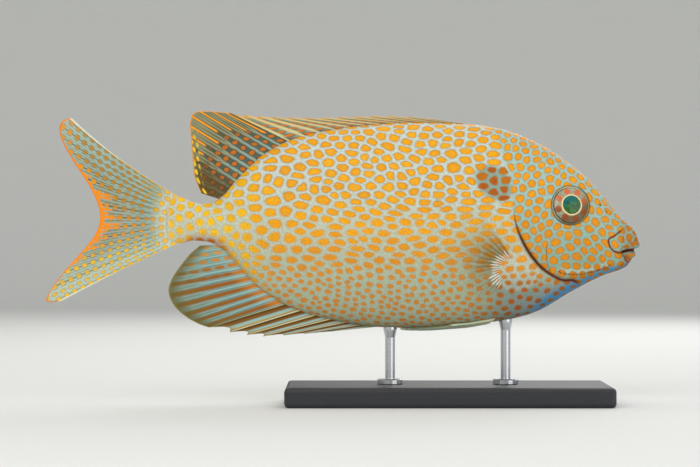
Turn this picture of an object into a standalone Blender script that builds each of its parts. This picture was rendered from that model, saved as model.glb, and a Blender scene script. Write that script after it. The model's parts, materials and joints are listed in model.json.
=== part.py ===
# A life-size still model of a gold-spotted rabbitfish, held over a plain base by two rods.
# Lengths are in millimetres with the snout towards +X, and heights are measured from the fish's own long axis.
import math
from bisect import bisect_right

import bmesh
import bpy
from mathutils import Matrix, Vector

MM = 0.001
GAP = 0.3  # left between two pieces that touch
AXIS_HEIGHT = 92.0  # of the fish's long axis above the floor
SIDES = (("left", 1), ("right", -1))  # the fish's left side is +Y

# Outline of the body without its fins, as (x, height) from the snout to the root of the tail fin.
BACK_KNOTS = [
    (148.9, -8.8), (148.0, -6.0), (146.3, -3.2), (143.9, -1.0), (139.9, 2.4), (131.8, 12.9),
    (123.7, 21.8), (115.6, 28.5), (99.4, 39.3), (79.2, 47.2), (63.5, 49.4), (36.2, 50.4),
    (8.9, 48.7), (-8.0, 46.4), (-25.0, 42.2), (-39.2, 35.0), (-54.4, 21.0), (-61.0, 13.4),
    (-66.5, 9.9), (-71.6, 9.1), (-77.2, 10.4), (-82.7, 12.6), (-86.5, 12.2), (-89.5, 8.0),
]
BELLY_KNOTS = [
    (148.9, -11.6), (147.6, -14.2), (146.4, -17.4), (145.0, -20.2), (142.6, -22.8), (139.9, -24.1),
    (131.8, -26.8), (115.6, -34.9), (99.4, -44.4), (91.3, -47.4), (79.2, -50.0), (58.9, -52.0),
    (35.7, -53.6), (15.9, -53.0), (-4.8, -49.6), (-23.5, -44.4), (-42.0, -33.9), (-57.5, -17.4),
    (-63.0, -12.4), (-68.5, -10.0), (-76.0, -9.4), (-81.5, -10.6), (-86.5, -10.4), (-89.5, -7.0),
]
HALF_WIDTH_KNOTS = [
    (148.9, 1.9), (148.0, 3.1), (146.3, 4.5), (143.9, 5.8), (139.9, 7.4), (131.8, 9.9), (123.7, 12.1),
    (114.0, 14.0), (104.0, 15.9), (91.0, 17.7), (75.0, 18.9), (55.0, 19.3), (35.0, 18.8), (15.0, 17.3),
    (-5.0, 14.9), (-25.0, 11.8), (-42.0, 8.9), (-55.0, 6.7), (-66.0, 5.0), (-76.0, 3.7), (-84.0, 2.2),
    (-89.5, 0.9),
]
WIDEST_KNOTS = [
    (148.9, -10.2), (140.0, -10.0), (125.0, -6.0), (110.0, -4.0), (80.0, -6.0), (40.0, -6.0),
    (0.0, -3.0), (-40.0, -1.0), (-70.0, -0.3), (-89.5, 0.5),
]
STATION_STEPS = ((146.0, 0.9), (84.0, 2.7), (-56.0, 7.0), (-89.5, 4.0))  # down to this x, apart by this much
BODY_SIDES = 36
POLES = (0.5, 0.4)  # how far the snout and the root of the tail swell past their last cross-sections
BACK_FULLNESS = 2.0  # 2 is an ellipse, more is squarer
BELLY_FULLNESS = 2.2
GILL_FLARE = 0.8  # how far the gill cover's edge stands out past the trunk
FLARE_START, FLARE_FULL = 108.0, 94.0
FLARE_TOP = (30.0, 12.0)  # heights between which it fades in, from above and from below
FLARE_BOTTOM = (-46.0, -30.0)

EYE_X, EYE_Z = 114.0, 8.3
EYE_RADIUS = 10.6
EYE_DEPTH = 4.8  # half the thickness of the flattened eyeball
EYE_SINK = 2.5  # its centre below the skin
ORBIT_RADIUS = 10.4
ORBIT_BEAD = 1.1
ORBIT_SINK = 0.75
NOSTRILS = ((129.4, 8.6, 0.75), (132.6, 5.2, 0.6))  # x, height, radius
NOSTRIL_DEPTH = 1.6

# The front margin of the gill cover on the cheek, from its top to where it meets the gill opening.
COVER_FRONT = [
    (78.0, 22.0), (89.0, 18.5), (95.4, 9.0), (99.0, -6.0), (101.4, -15.5), (103.6, -23.0), (108.6, -34.0),
]
COVER_DEPTH = 6.0  # from the midline to the gill cover's inner face
COVER_REACH = 32.0  # back past the gill opening
# The cut behind the gill cover, from over the nape to below the throat.
GILL_LINE = [
    (66.0, 62.0), (77.5, 40.0), (84.4, 17.0), (85.8, 1.0), (90.6, -11.5), (98.8, -22.5), (109.0, -29.0),
    (118.0, -31.0), (124.0, -46.0),
]
TAIL_CUT_X = -64.0
# How far the cutting blocks reach past the body.
CUT_FRONT, CUT_REAR = 175.0, -120.0
CUT_TOP, CUT_BOTTOM = 62.0, -60.0
CUT_HALF_WIDTH = 35.0
COVER_HALF_WIDTH = 15.0
MOUTH_HALF_WIDTH = 12.0
MOUTH_CLEFT = [
    (140.4, -15.3), (143.2, -13.8), (146.2, -13.5), (153.0, -13.6), (153.0, -15.0), (146.2, -14.8),
    (143.2, -14.8),
]
# Half of each lip, from the corner of the mouth to its middle, as (x, y, height, radius).
UPPER_LIP = [
    (140.2, 7.0, -14.2, 0.5), (143.2, 6.0, -12.6, 1.4), (146.4, 4.2, -11.7, 1.8), (148.2, 0.0, -11.4, 1.8),
]
LOWER_LIP = [
    (140.4, 6.8, -15.8, 0.5), (143.0, 5.5, -16.2, 1.5), (145.0, 3.5, -16.3, 1.9), (146.0, 0.0, -16.3, 1.9),
]
JAW_GROOVE = [
    (139.6, -4.6), (136.4, -7.0), (133.5, -8.8), (133.9, -12.0), (136.1, -14.7), (139.0, -15.6),
]
GROOVE_RADIUS = 0.45

FIN_SINK = 3.0  # how deep a fin is drawn under the skin before the body is cut away from it
FIN_ROWS = 5
SPINE_ROWS = 4
# Half sizes at a fin's root and at its margin.
WEB = (0.35, 0.27)
RAY_CREST = (0.85, 0.38)
RAY_FLANK = (0.8, 0.45)
SPINE_CREST = (1.15, 0.36)
SPINE_FLANK = (0.85, 0.4)
FINE_CREST = (0.75, 0.4)
FLANK_SHARE = 0.3  # of the way to the next ray, at most
SPINE_LEAN = 0.25  # spines lie a little to the left and the right by turns
SPINE_NOTCH = 0.35  # how far the margin falls back between two spines
RAY_NOTCH = 0.12

# Each spine or ray of the fins on the midline, as its foot and its tip.
DORSAL_SPINE_FEET = (67.2, -27.6)  # x of the first and the last, evenly spaced
DORSAL_SPINE_COUNT = 13
DORSAL_FOOT_DEPTH = 0.4
DORSAL_SPINE_TIPS = [
    (45.0, 52.2), (33.0, 53.3), (23.5, 53.7), (14.2, 53.7), (5.8, 53.4), (-2.5, 53.1), (-10.5, 52.9),
    (-19.0, 52.8), (-27.5, 53.0), (-35.8, 53.3), (-43.5, 53.8), (-50.6, 54.5), (-57.2, 55.2),
]
DORSAL_RAYS = [
    ((-32.5, 39.0), (-63.2, 55.7)), ((-36.5, 36.7), (-69.5, 56.1)), ((-40.4, 34.0), (-75.4, 55.4)),
    ((-44.2, 30.9), (-77.4, 51.2)), ((-47.8, 27.6), (-77.4, 46.0)), ((-51.2, 24.2), (-77.0, 40.6)),
    ((-54.4, 20.8), (-76.6, 35.0)), ((-57.4, 17.5), (-76.1, 29.0)), ((-60.2, 14.2), (-75.2, 22.4)),
    ((-62.8, 11.6), (-72.2, 14.6)),
]
ANAL_SPINES = [
    ((17.5, -52.9), (-6.0, -55.4)), ((9.0, -52.0), (-19.5, -56.6)), ((0.6, -50.8), (-30.4, -57.4)),
    ((-7.0, -49.2), (-40.9, -57.9)), ((-14.6, -47.2), (-49.0, -57.2)), ((-22.4, -44.8), (-57.6, -55.8)),
    ((-30.4, -41.6), (-68.2, -53.3)),
]
ANAL_RAYS = [
    ((-35.0, -38.6), (-72.8, -51.7)), ((-38.4, -36.2), (-78.0, -49.0)), ((-41.6, -33.4), (-83.0, -45.2)),
    ((-45.0, -30.2), (-86.9, -40.3)), ((-48.4, -26.6), (-88.5, -34.8)), ((-51.6, -23.0), (-87.2, -29.6)),
    ((-54.8, -19.4), (-84.4, -24.8)), ((-58.0, -16.2), (-81.0, -20.2)), ((-61.0, -13.4), (-77.2, -15.7)),
    ((-64.0, -11.6), (-72.6, -11.9)),
]
TAIL_FAN_X, TAIL_FAN_Z = -66.0, 0.8  # where the tail fin's rays would meet
TAIL_FAN_ARC = 21.5  # from there to the rays' feet
TAIL_FAN_RUN, TAIL_FAN_RISE, TAIL_FAN_DROP = -17.5, 12.2, -11.4  # headings of its uppermost and its lowest ray
TAIL_TIPS = [
    (-137.5, 52.5), (-142.0, 51.2), (-143.8, 46.5), (-142.0, 40.3), (-138.3, 33.4), (-133.8, 26.2),
    (-129.2, 19.2), (-125.6, 12.4), (-123.4, 5.8), (-123.4, -0.4), (-125.6, -6.2), (-129.6, -11.8),
    (-134.4, -17.2), (-139.4, -22.8), (-144.6, -29.2), (-149.4, -36.6), (-150.0, -40.2), (-143.2, -40.2),
]
TAIL_EDGE_BOWS = (2.2, 0.6)  # how far its uppermost and its lowest ray bow outwards

PECTORAL_X, PECTORAL_Z = 86.5, -24.5  # middle of the fleshy pad that carries the pectoral fin
PECTORAL_PAD = (11.4, 3.6, 9.8)
PECTORAL_PAD_SINK = 2.0
PECTORAL_FOOT_X = 83.2  # middle of the arc that the rays' feet stand on
PECTORAL_FOOT_RADIUS = 7.6
PECTORAL_FOOT_ANGLES = (88.0, 232.0)
PECTORAL_RAY_ANGLES = (124.0, 240.0)
PECTORAL_RAYS = 16
PECTORAL_LENGTHS = (40.0, 16.0)
PECTORAL_SPREAD = 34.0  # degrees out from the flank
PECTORAL_CURL = 0.4
PECTORAL_OUT = 1.1  # from the skin to the rays' feet
PECTORAL_SHORTENING = 1.3  # above 1, the upper rays keep more of their length

# The pelvic fin's spines and rays lie back along the belly, as (x, y) at the foot, half way and at the tip.
PELVIC_RAYS = [
    ((74.6, 6.2), (52.0, 6.7), (33.5, 5.2)), ((74.2, 5.4), (50.0, 5.6), (29.8, 4.7)),
    ((73.8, 4.6), (49.0, 4.4), (28.7, 4.1)), ((73.4, 3.8), (50.0, 3.1), (30.5, 3.4)),
    ((73.0, 3.0), (52.0, 1.9), (38.0, 2.4)),
]
PELVIC_CLEAR = (0.4, 1.35)  # from the belly to the fin's middle, at its foot and behind it
PELVIC_CLEAR_BY = 0.25  # of its length, from which it keeps clear
PELVIC_ROOT_AHEAD = 4.0

BASE_SIZE = (164.0, 80.0, 10.0)
BASE_X = 52.8
BASE_BEVEL = 2.0
ROD_PLACES = (("front", 82.0), ("rear", 23.6))
ROD_RADIUS = 2.5
FLANGE_RADIUS, FLANGE_HEIGHT = 6.5, 2.5
SADDLE_RADIUS, SADDLE_HEIGHT = 3.4, 5.0
SADDLE_LIP = 1.0  # straight part at the saddle's top
ROD_SPARE = 4.0  # drawn past the belly, which trims it
ROD_CHAMFER = 0.6
ROD_SIDES = 18


def through(knots):
    # A smooth curve through (x, value) knots that never swings past them.
    knots = sorted(knots)
    xs = [x for x, _ in knots]
    values = [value for _, value in knots]
    slopes = [(b - a) / (q - p) for p, q, a, b in zip(xs, xs[1:], values, values[1:])]
    tangents = [slopes[0]]
    for before, after in zip(slopes, slopes[1:]):
        tangents.append(0.0 if before * after <= 0 else 2 * before * after / (before + after))
    tangents.append(slopes[-1])

    def at(x):
        x = min(max(x, xs[0]), xs[-1])
        i = min(max(bisect_right(xs, x) - 1, 0), len(xs) - 2)
        span = xs[i + 1] - xs[i]
        t = (x - xs[i]) / span
        rise = values[i + 1] - values[i]
        start, end = tangents[i] * span, tangents[i + 1] * span
        return values[i] + t * (start + t * (3 * rise - 2 * start - end + t * (start + end - 2 * rise)))

    return at


back = through(BACK_KNOTS)
belly = through(BELLY_KNOTS)
half_width = through(HALF_WIDTH_KNOTS)
widest = through(WIDEST_KNOTS)
SNOUT_X = BACK_KNOTS[0][0]
ROOT_X = BACK_KNOTS[-1][0]


def curved(points, pieces=4):
    # The same points joined by a smooth curve, as closer points.
    made = []
    for i in range(len(points) - 1):
        a, b = Vector(points[max(i - 1, 0)]), Vector(points[i])
        c, d = Vector(points[i + 1]), Vector(points[min(i + 2, len(points) - 1)])
        for k in range(pieces):
            t = k / pieces
            bend = (c - a) * t + (2 * a - 5 * b + 4 * c - d) * t * t + (3 * b - a - 3 * c + d) * t**3
            made.append(tuple(b + bend / 2))
    return [*made, tuple(points[-1])]


def smooth_step(low, high, value):
    t = min(max((value - low) / (high - low), 0.0), 1.0)
    return t * t * (3 - 2 * t)


def signed_power(value, power):
    return math.copysign(abs(value) ** power, value)


def section_point(x, turn, grow=0.0):
    # A point of the body's cross-section at x, a quarter turn being the back.
    level = widest(x)
    up = math.sin(turn) > 0
    reach = (back(x) - level if up else level - belly(x)) + grow
    fullness = BACK_FULLNESS if up else BELLY_FULLNESS
    y = (half_width(x) + grow) * signed_power(math.cos(turn), 2 / fullness)
    return Vector((x, y, level + reach * signed_power(math.sin(turn), 2 / fullness)))


def flank(x, z):
    # How far the skin stands out from the midline at this place.
    level = widest(x)
    up = z > level
    share = (z - level) / (back(x) - level if up else belly(x) - level)
    fullness = BACK_FULLNESS if up else BELLY_FULLNESS
    return half_width(x) * max(1 - min(share, 1.0) ** fullness, 0.0) ** (1 / fullness)


def belly_height(x, y):
    # Height of the belly's skin under this place.
    level = widest(x)
    share = min(abs(y) / half_width(x), 1.0)
    return level - (level - belly(x)) * (1 - share**BELLY_FULLNESS) ** (1 / BELLY_FULLNESS)


def skin_normal(x, z, side):
    # The way the skin faces at this place of one flank.
    step = 1.0
    along = (flank(x + step, z) - flank(x - step, z)) / (2 * step)
    up = (flank(x, z + step) - flank(x, z - step)) / (2 * step)
    return Vector((-along, side, -up)).normalized()


def on_skin(x, z, side, out=0.0):
    return Vector((x, side * flank(x, z), z)) + skin_normal(x, z, side) * out


def placed(point):
    return Vector((point[0], point[1], point[2] + AXIS_HEIGHT)) * MM


def collection(name):
    made = bpy.data.collections.new(name)
    bpy.context.scene.collection.children.link(made)
    return made


def object_from(bm, name, smooth=True):
    # Turns a bmesh in placed metres into an object with its faces turned out.
    bm.normal_update()
    bmesh.ops.recalc_face_normals(bm, faces=bm.faces)
    mesh = bpy.data.meshes.new(name)
    bm.to_mesh(mesh)
    bm.free()
    if smooth:
        mesh.shade_smooth()
        mesh.set_sharp_from_angle(angle=math.radians(40))
    made = bpy.data.objects.new(name, mesh)
    FISH.objects.link(made)
    return made


def mesh_of(source, name):
    # A mesh copy of an object with its modifiers or its curve worked out, in world space.
    bpy.context.view_layer.update()
    graph = bpy.context.evaluated_depsgraph_get()
    mesh = bpy.data.meshes.new_from_object(source.evaluated_get(graph))
    mesh.transform(source.matrix_world)
    bpy.data.objects.remove(source)
    bm = bmesh.new()
    bm.from_mesh(mesh)
    bpy.data.meshes.remove(mesh)
    bmesh.ops.remove_doubles(bm, verts=bm.verts, dist=1e-6)
    return object_from(bm, name)


def volume_of(faces):
    total = 0.0
    for face in faces:
        first = face.verts[0].co
        for a, b in zip(face.verts[1:], face.verts[2:]):
            total += first.dot(a.co.cross(b.co))
    return abs(total)


def keep_largest(target):
    # Drops every closed surface of a mesh but the one that holds most.
    bm = bmesh.new()
    bm.from_mesh(target.data)
    left = set(bm.faces)
    shells = []
    while left:
        shell = {left.pop()}
        edge_of = list(shell)
        while edge_of:
            for edge in edge_of.pop().edges:
                for face in edge.link_faces:
                    if face in left:
                        left.discard(face)
                        shell.add(face)
                        edge_of.append(face)
        shells.append(shell)
    shells.sort(key=volume_of)
    for shell in shells[:-1]:
        bmesh.ops.delete(bm, geom=list(shell), context="FACES")
    bm.to_mesh(target.data)
    bm.free()


def combine(target, tools, operation, solver="MANIFOLD"):
    # Joins tools to the target, or cuts them from it, by one Boolean; the tools are used up.
    group = collection("tools")
    for tool in tools:
        FISH.objects.unlink(tool)
        group.objects.link(tool)
    modifier = target.modifiers.new("combine", "BOOLEAN")
    modifier.operation = operation
    modifier.solver = solver
    modifier.operand_type = "COLLECTION"
    modifier.collection = group
    name = target.name
    target.name = "worked"
    made = mesh_of(target, name)
    for tool in list(group.objects):
        bpy.data.objects.remove(tool)
    bpy.data.collections.remove(group)
    keep_largest(made)
    return made


def copy_of(source, name):
    made = source.copy()
    made.data = source.data.copy()
    made.name = name
    FISH.objects.link(made)
    return made


def stations():
    # Places along the body, close together at the snout and wider over the trunk.
    xs = [SNOUT_X]
    for limit, step in STATION_STEPS:
        while xs[-1] > limit:
            xs.append(xs[-1] - step)
    xs[-1] = ROOT_X
    return xs


def body(name, grow=0.0):
    # The whole body, skin to skin, made as a loft along its length.
    bm = bmesh.new()
    rings = []
    for x in stations():
        ring = []
        for k in range(BODY_SIDES):
            turn = 2 * math.pi * k / BODY_SIDES
            ring.append(bm.verts.new(placed(section_point(x, turn, grow))))
        rings.append(ring)
    for front, rear in zip(rings, rings[1:]):
        for k in range(BODY_SIDES):
            following = (k + 1) % BODY_SIDES
            bm.faces.new((front[k], front[following], rear[following], rear[k]))
    for ring, x in ((rings[0], SNOUT_X + POLES[0] + grow), (rings[-1], ROOT_X - POLES[1] - grow)):
        pole = bm.verts.new(placed((x, 0.0, widest(x))))
        for k in range(BODY_SIDES):
            bm.faces.new((ring[k], ring[(k + 1) % BODY_SIDES], pole))
    return object_from(bm, name)


def slab(name, outline, half_thickness):
    # A flat outline of (x, height) points given a thickness across the body.
    curve = bpy.data.curves.new(name, "CURVE")
    curve.dimensions = "2D"
    curve.fill_mode = "BOTH"
    curve.extrude = half_thickness * MM
    spline = curve.splines.new("POLY")
    spline.points.add(len(outline) - 1)
    for point, (x, z) in zip(spline.points, outline):
        point.co = (x * MM, (z + AXIS_HEIGHT) * MM, 0, 1)
    spline.use_cyclic_u = True
    drawn = bpy.data.objects.new(name + "_outline", curve)
    drawn.rotation_euler = (math.pi / 2, 0, 0)
    FISH.objects.link(drawn)
    return mesh_of(drawn, name)


def tube(name, path, resolution=2):
    # A round bead along (x, y, z, radius) points.
    curve = bpy.data.curves.new(name, "CURVE")
    curve.dimensions = "3D"
    curve.bevel_depth = MM
    curve.bevel_resolution = resolution
    curve.use_fill_caps = True
    spline = curve.splines.new("POLY")
    spline.points.add(len(path) - 1)
    for point, (x, y, z, radius) in zip(spline.points, path):
        point.co = (*placed((x, y, z)), 1)
        point.radius = radius
    drawn = bpy.data.objects.new(name + "_path", curve)
    FISH.objects.link(drawn)
    return mesh_of(drawn, name)


def ball(name, centre, half_sizes, facing=Vector((0, 1, 0)), segments=20, rings=12):
    # A flattened ball whose middle half size lies along facing.
    bm = bmesh.new()
    bmesh.ops.create_uvsphere(bm, u_segments=segments, v_segments=rings, radius=1.0)
    width, depth, height = half_sizes
    turn = facing.to_track_quat("Z", "Y").to_matrix()
    for vert in bm.verts:
        shaped = Vector((vert.co.x * width, vert.co.y * height, vert.co.z * depth))
        vert.co = placed(Vector(centre) + turn @ shaped)
    return object_from(bm, name)


def shifted(line, distance):
    # A line of (x, height) points moved sideways, towards the head where distance is positive.
    moved = []
    for i, (x, z) in enumerate(line):
        before = line[max(i - 1, 0)]
        after = line[min(i + 1, len(line) - 1)]
        along = Vector((after[0] - before[0], after[1] - before[1])).normalized()
        moved.append((x - along.y * distance, z + along.x * distance))
    return moved


def head_prism(name, distance):
    outline = shifted(curved(GILL_LINE), distance) + [(CUT_FRONT, GILL_LINE[-1][1]), (CUT_FRONT, CUT_TOP)]
    return slab(name, outline, CUT_HALF_WIDTH)


def lips(name, half):
    # One lip, from one corner of the mouth round the front to the other.
    whole = half + [(x, -y, z, radius) for x, y, z, radius in reversed(half[:-1])]
    return tube(name, curved(whole, 2))


def orbit(side):
    # The raised rim of the eye socket.
    bpy.ops.mesh.primitive_torus_add(
        major_segments=26, minor_segments=7, major_radius=ORBIT_RADIUS * MM, minor_radius=ORBIT_BEAD * MM
    )
    ring = bpy.context.active_object
    ring.users_collection[0].objects.unlink(ring)
    FISH.objects.link(ring)
    ring.rotation_mode = "QUATERNION"
    ring.rotation_quaternion = skin_normal(EYE_X, EYE_Z, side).to_track_quat("Z", "Y")
    ring.location = placed(on_skin(EYE_X, EYE_Z, side, -ORBIT_SINK))
    return mesh_of(ring, "orbit")


def eyeball(name, side, grow=0.0):
    centre = on_skin(EYE_X, EYE_Z, side, -EYE_SINK)
    sizes = (EYE_RADIUS + grow, EYE_DEPTH + grow, EYE_RADIUS + grow)
    return ball(name, centre, sizes, skin_normal(EYE_X, EYE_Z, side), 22, 10)


def nostril(x, z, radius, side):
    facing = skin_normal(x, z, side)
    return ball("nostril", on_skin(x, z, side), (radius, NOSTRIL_DEPTH, radius), facing, 8, 6)


def jaw_groove(side):
    path = [(*on_skin(x, z, side), GROOVE_RADIUS) for x, z in curved(JAW_GROOVE, 2)]
    return tube("groove", path, 1)


def flare_gills(target):
    # Lifts the gill cover's rear edge a little off the trunk.
    for vert in target.data.vertices:
        x = vert.co.x / MM
        z = vert.co.z / MM - AXIS_HEIGHT
        low = smooth_step(*FLARE_TOP, z) * smooth_step(*FLARE_BOTTOM, z)
        rear = smooth_step(FLARE_START, FLARE_FULL, x) * low
        if abs(vert.co.y) > MM:
            vert.co.y += math.copysign(GILL_FLARE * rear * MM, vert.co.y)


def cover_block(name, side, grow):
    # Holds one gill cover: the cheek behind its front margin, from the inner face outwards.
    front = shifted(curved(COVER_FRONT), grow)
    outline = front + [(x - COVER_REACH, z) for x, z in (front[-1], front[0])]
    block = slab(name, outline, COVER_HALF_WIDTH)
    block.data.transform(Matrix.Translation((0, side * (COVER_DEPTH - grow + COVER_HALF_WIDTH) * MM, 0)))
    return block


def build_head():
    head = body("head")
    flare_gills(head)
    head = combine(head, [head_prism("front", GAP / 2)], "INTERSECT")
    covers = []
    for word, side in SIDES:
        cover = combine(copy_of(head, "gill_cover_" + word), [cover_block("block", side, 0.0)], "INTERSECT")
        covers.append(cover)
    head = combine(head, [cover_block("block", side, GAP) for _, side in SIDES], "DIFFERENCE")
    rims = [orbit(side) for _, side in SIDES]
    head = combine(head, rims + [lips("upper_lip", UPPER_LIP), lips("lower_lip", LOWER_LIP)], "UNION")
    cuts = [slab("mouth", MOUTH_CLEFT, MOUTH_HALF_WIDTH)]
    for _, side in SIDES:
        cuts.append(eyeball("socket", side, GAP))
        cuts.append(jaw_groove(side))
        cuts += [nostril(x, z, radius, side) for x, z, radius in NOSTRILS]
    return [combine(head, cuts, "DIFFERENCE"), *covers]


def cross_cut(name, x, end):
    # Holds everything between a plane across the body and a far end.
    outline = [(x, CUT_TOP), (x, CUT_BOTTOM), (end, CUT_BOTTOM), (end, CUT_TOP)]
    return slab(name, outline, CUT_HALF_WIDTH)


def build_trunk():
    trunk = body("trunk")
    pads = []
    for _, side in SIDES:
        centre = on_skin(PECTORAL_X, PECTORAL_Z, side, -PECTORAL_PAD_SINK)
        pads.append(ball("pad", centre, PECTORAL_PAD, skin_normal(PECTORAL_X, PECTORAL_Z, side), 18, 10))
    trunk = combine(trunk, pads, "UNION")
    cuts = [head_prism("front", -GAP / 2), cross_cut("rear", TAIL_CUT_X + GAP / 2, CUT_REAR)]
    return combine(trunk, cuts, "DIFFERENCE")


def build_tail_stalk():
    return combine(body("tail_stalk"), [cross_cut("front", TAIL_CUT_X - GAP / 2, CUT_FRONT)], "DIFFERENCE")


def sheet(name, columns):
    # A thin closed sheet from columns of (middle, normal, half thickness), split alike on both faces.
    bm = bmesh.new()
    wide, long = len(columns), len(columns[0])
    faces = {1: [], -1: []}
    for side, face in faces.items():
        for column in columns:
            points = [placed(middle + normal * half * side) for middle, normal, half in column]
            face.append([bm.verts.new(point) for point in points])
        for i in range(wide - 1):
            for j in range(long - 1):
                a, b, c, d = face[i][j], face[i + 1][j], face[i + 1][j + 1], face[i][j + 1]
                bm.faces.new((a, b, c))
                bm.faces.new((a, c, d))
    rim = [(i, 0) for i in range(wide)] + [(wide - 1, j) for j in range(1, long)]
    rim += [(i, long - 1) for i in range(wide - 2, -1, -1)] + [(0, j) for j in range(long - 2, 0, -1)]
    for (i, j), (p, q) in zip(rim, rim[1:] + rim[:1]):
        bm.faces.new((faces[1][i][j], faces[1][p][q], faces[-1][p][q]))
        bm.faces.new((faces[1][i][j], faces[-1][p][q], faces[-1][i][j]))
    return object_from(bm, name)


def tapered(sizes, t):
    return sizes[0] + (sizes[1] - sizes[0]) * t


def web_column(line, normals):
    last = len(line) - 1
    return [(point, normal, tapered(WEB, j / last)) for j, (point, normal) in enumerate(zip(line, normals))]


def fin(name, rays, crest, flank=None, edges=(None, None), lean=0.0, notch=None):
    # A membrane with its rays raised along it. A flank gives each ray its own width, and a notch lowers the
    # web between. Edges are bare lines of membrane in front of the first ray and behind the last.
    lines = [line for line in (edges[0], *rays, edges[1]) if line]
    last = len(rays[0]) - 1
    columns = []
    previous = None
    for k, line in enumerate(lines):
        ahead, behind = lines[max(k - 1, 0)], lines[min(k + 1, len(lines) - 1)]
        alongs = [(line[min(j + 1, last)] - line[max(j - 1, 0)]).normalized() for j in range(last + 1)]
        normals = [(behind[j] - ahead[j]).cross(alongs[j]).normalized() for j in range(last + 1)]
        if previous and notch is not None:
            between = [(a + b) / 2 for a, b in zip(line, previous)]
            between[-1] = between[-1].lerp(between[-2], notch)
            columns.append(web_column(between, normals))
        previous = line
        if line is edges[0] or line is edges[1]:
            columns.append(web_column(line, normals))
            continue
        shift = lean * (1 if k % 2 else -1)
        ridge = [(p + n * shift, n, tapered(crest, j / last)) for j, (p, n) in enumerate(zip(line, normals))]
        if not flank:
            columns.append(ridge)
            continue
        beside_ray = []
        for other in (ahead, behind):
            way = -1 if other is ahead else 1
            points = []
            for j, point in enumerate(line):
                wide = tapered(flank, j / last)
                if other is line:
                    points.append(point + alongs[j].cross(normals[j]) * wide * way)
                else:
                    points.append(point.lerp(other[j], min(wide / (other[j] - point).length, FLANK_SHARE)))
            beside_ray.append(web_column(points, normals))
        columns += [beside_ray[0], ridge, beside_ray[1]]
    return sheet(name, columns)


def midline_ray(foot, tip, sink, rows, bow=0.0):
    # Points of a ray on the midline: its root under the skin, its foot at the skin, and on to its tip.
    foot, tip = Vector((foot[0], 0, foot[1])), Vector((tip[0], 0, tip[1]))
    aside = (tip - foot).cross(Vector((0, 1, 0))).normalized()
    points = [foot + Vector((0, 0, sink))]
    for j in range(rows):
        t = j / (rows - 1)
        points.append(foot.lerp(tip, t) + aside * bow * 4 * t * (1 - t))
    return points


def behind_spine(foot, tip, up):
    # The line that keeps the gap behind a spine on the back, or under it where up is -1.
    foot, tip = Vector(foot), Vector(tip)
    along = (tip - foot).normalized()
    aside = Vector((-along.y, along.x)) * up
    return foot + aside * (SPINE_FLANK[0] + GAP), tip + aside * (SPINE_FLANK[1] + GAP)


def build_midline_fins():
    first, last = DORSAL_SPINE_FEET
    step = (last - first) / (DORSAL_SPINE_COUNT - 1)
    feet = [(first + k * step, back(first + k * step) - DORSAL_FOOT_DEPTH) for k in range(DORSAL_SPINE_COUNT)]
    dorsal_spines = list(zip(feet, DORSAL_SPINE_TIPS))
    made = []
    plans = (("dorsal", dorsal_spines, DORSAL_RAYS, 1), ("anal", ANAL_SPINES, ANAL_RAYS, -1))
    for word, spines, rays, up in plans:
        sink = -FIN_SINK * up
        lines = [midline_ray(*spine, sink, SPINE_ROWS) for spine in spines]
        spiny = fin(word + "_fin_spiny", lines, SPINE_CREST, SPINE_FLANK, lean=SPINE_LEAN, notch=SPINE_NOTCH)
        edge = midline_ray(*behind_spine(*spines[-1], up), sink, FIN_ROWS)
        lines = [midline_ray(*ray, sink, FIN_ROWS) for ray in rays]
        soft = fin(word + "_fin_soft", lines, RAY_CREST, RAY_FLANK, edges=(edge, None))
        made += [spiny, soft]
    return made


def build_tail_fins():
    # The two lobes of the forked tail fin, their rays fanned from one point inside the tail stalk.
    top = math.atan2(TAIL_FAN_RISE, TAIL_FAN_RUN)
    bottom = math.atan2(TAIL_FAN_DROP, TAIL_FAN_RUN) + 2 * math.pi
    rays = []
    count = len(TAIL_TIPS)
    for k, tip in enumerate(TAIL_TIPS):
        turn = top + (bottom - top) * k / (count - 1)
        heading = Vector((math.cos(turn), 0, math.sin(turn)))
        hub = Vector((TAIL_FAN_X, 0, TAIL_FAN_Z))
        foot = hub + heading * TAIL_FAN_ARC
        share = 1 - 2 * k / (count - 1)
        bow = -TAIL_EDGE_BOWS[0] * share**2 if share > 0 else TAIL_EDGE_BOWS[1] * share**2
        ray = midline_ray((foot.x, foot.z), tip, 0.0, FIN_ROWS + 1, bow)
        ray[0] = hub + heading * (TAIL_FAN_ARC - FIN_SINK)
        rays.append(ray)
    upper, lower = rays[: count // 2], rays[count // 2 :]
    split = [(a + b) / 2 for a, b in zip(upper[-1], lower[0])]
    above = [point + Vector((0, 0, GAP / 2)) for point in split]
    below = [point - Vector((0, 0, GAP / 2)) for point in split]
    return [
        fin("tail_fin_upper", upper, RAY_CREST, RAY_FLANK, edges=(None, above)),
        fin("tail_fin_lower", lower, RAY_CREST, RAY_FLANK, edges=(below, None)),
    ]


def build_pectoral_fin(name, side):
    rays = []
    for k in range(PECTORAL_RAYS):
        share = k / (PECTORAL_RAYS - 1)
        foot_turn = math.radians(tapered(PECTORAL_FOOT_ANGLES, share))
        turn = math.radians(tapered(PECTORAL_RAY_ANGLES, share))
        x = PECTORAL_FOOT_X + PECTORAL_FOOT_RADIUS * math.cos(foot_turn)
        z = PECTORAL_Z + PECTORAL_FOOT_RADIUS * math.sin(foot_turn)
        foot = on_skin(x, z, side, PECTORAL_OUT)
        length = tapered(PECTORAL_LENGTHS, share**PECTORAL_SHORTENING)
        spread = math.radians(PECTORAL_SPREAD)
        flat = Vector((math.cos(turn), 0, math.sin(turn))) * length * math.cos(spread)
        out = Vector((0, side, 0)) * length * math.sin(spread)
        points = [foot - (flat + out).normalized() * FIN_SINK]
        for j in range(SPINE_ROWS):
            t = j / (SPINE_ROWS - 1)
            points.append(foot + flat * t + out * (t - PECTORAL_CURL * t * t))
        rays.append(points)
    return fin(name, rays, FINE_CREST, notch=RAY_NOTCH)


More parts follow.
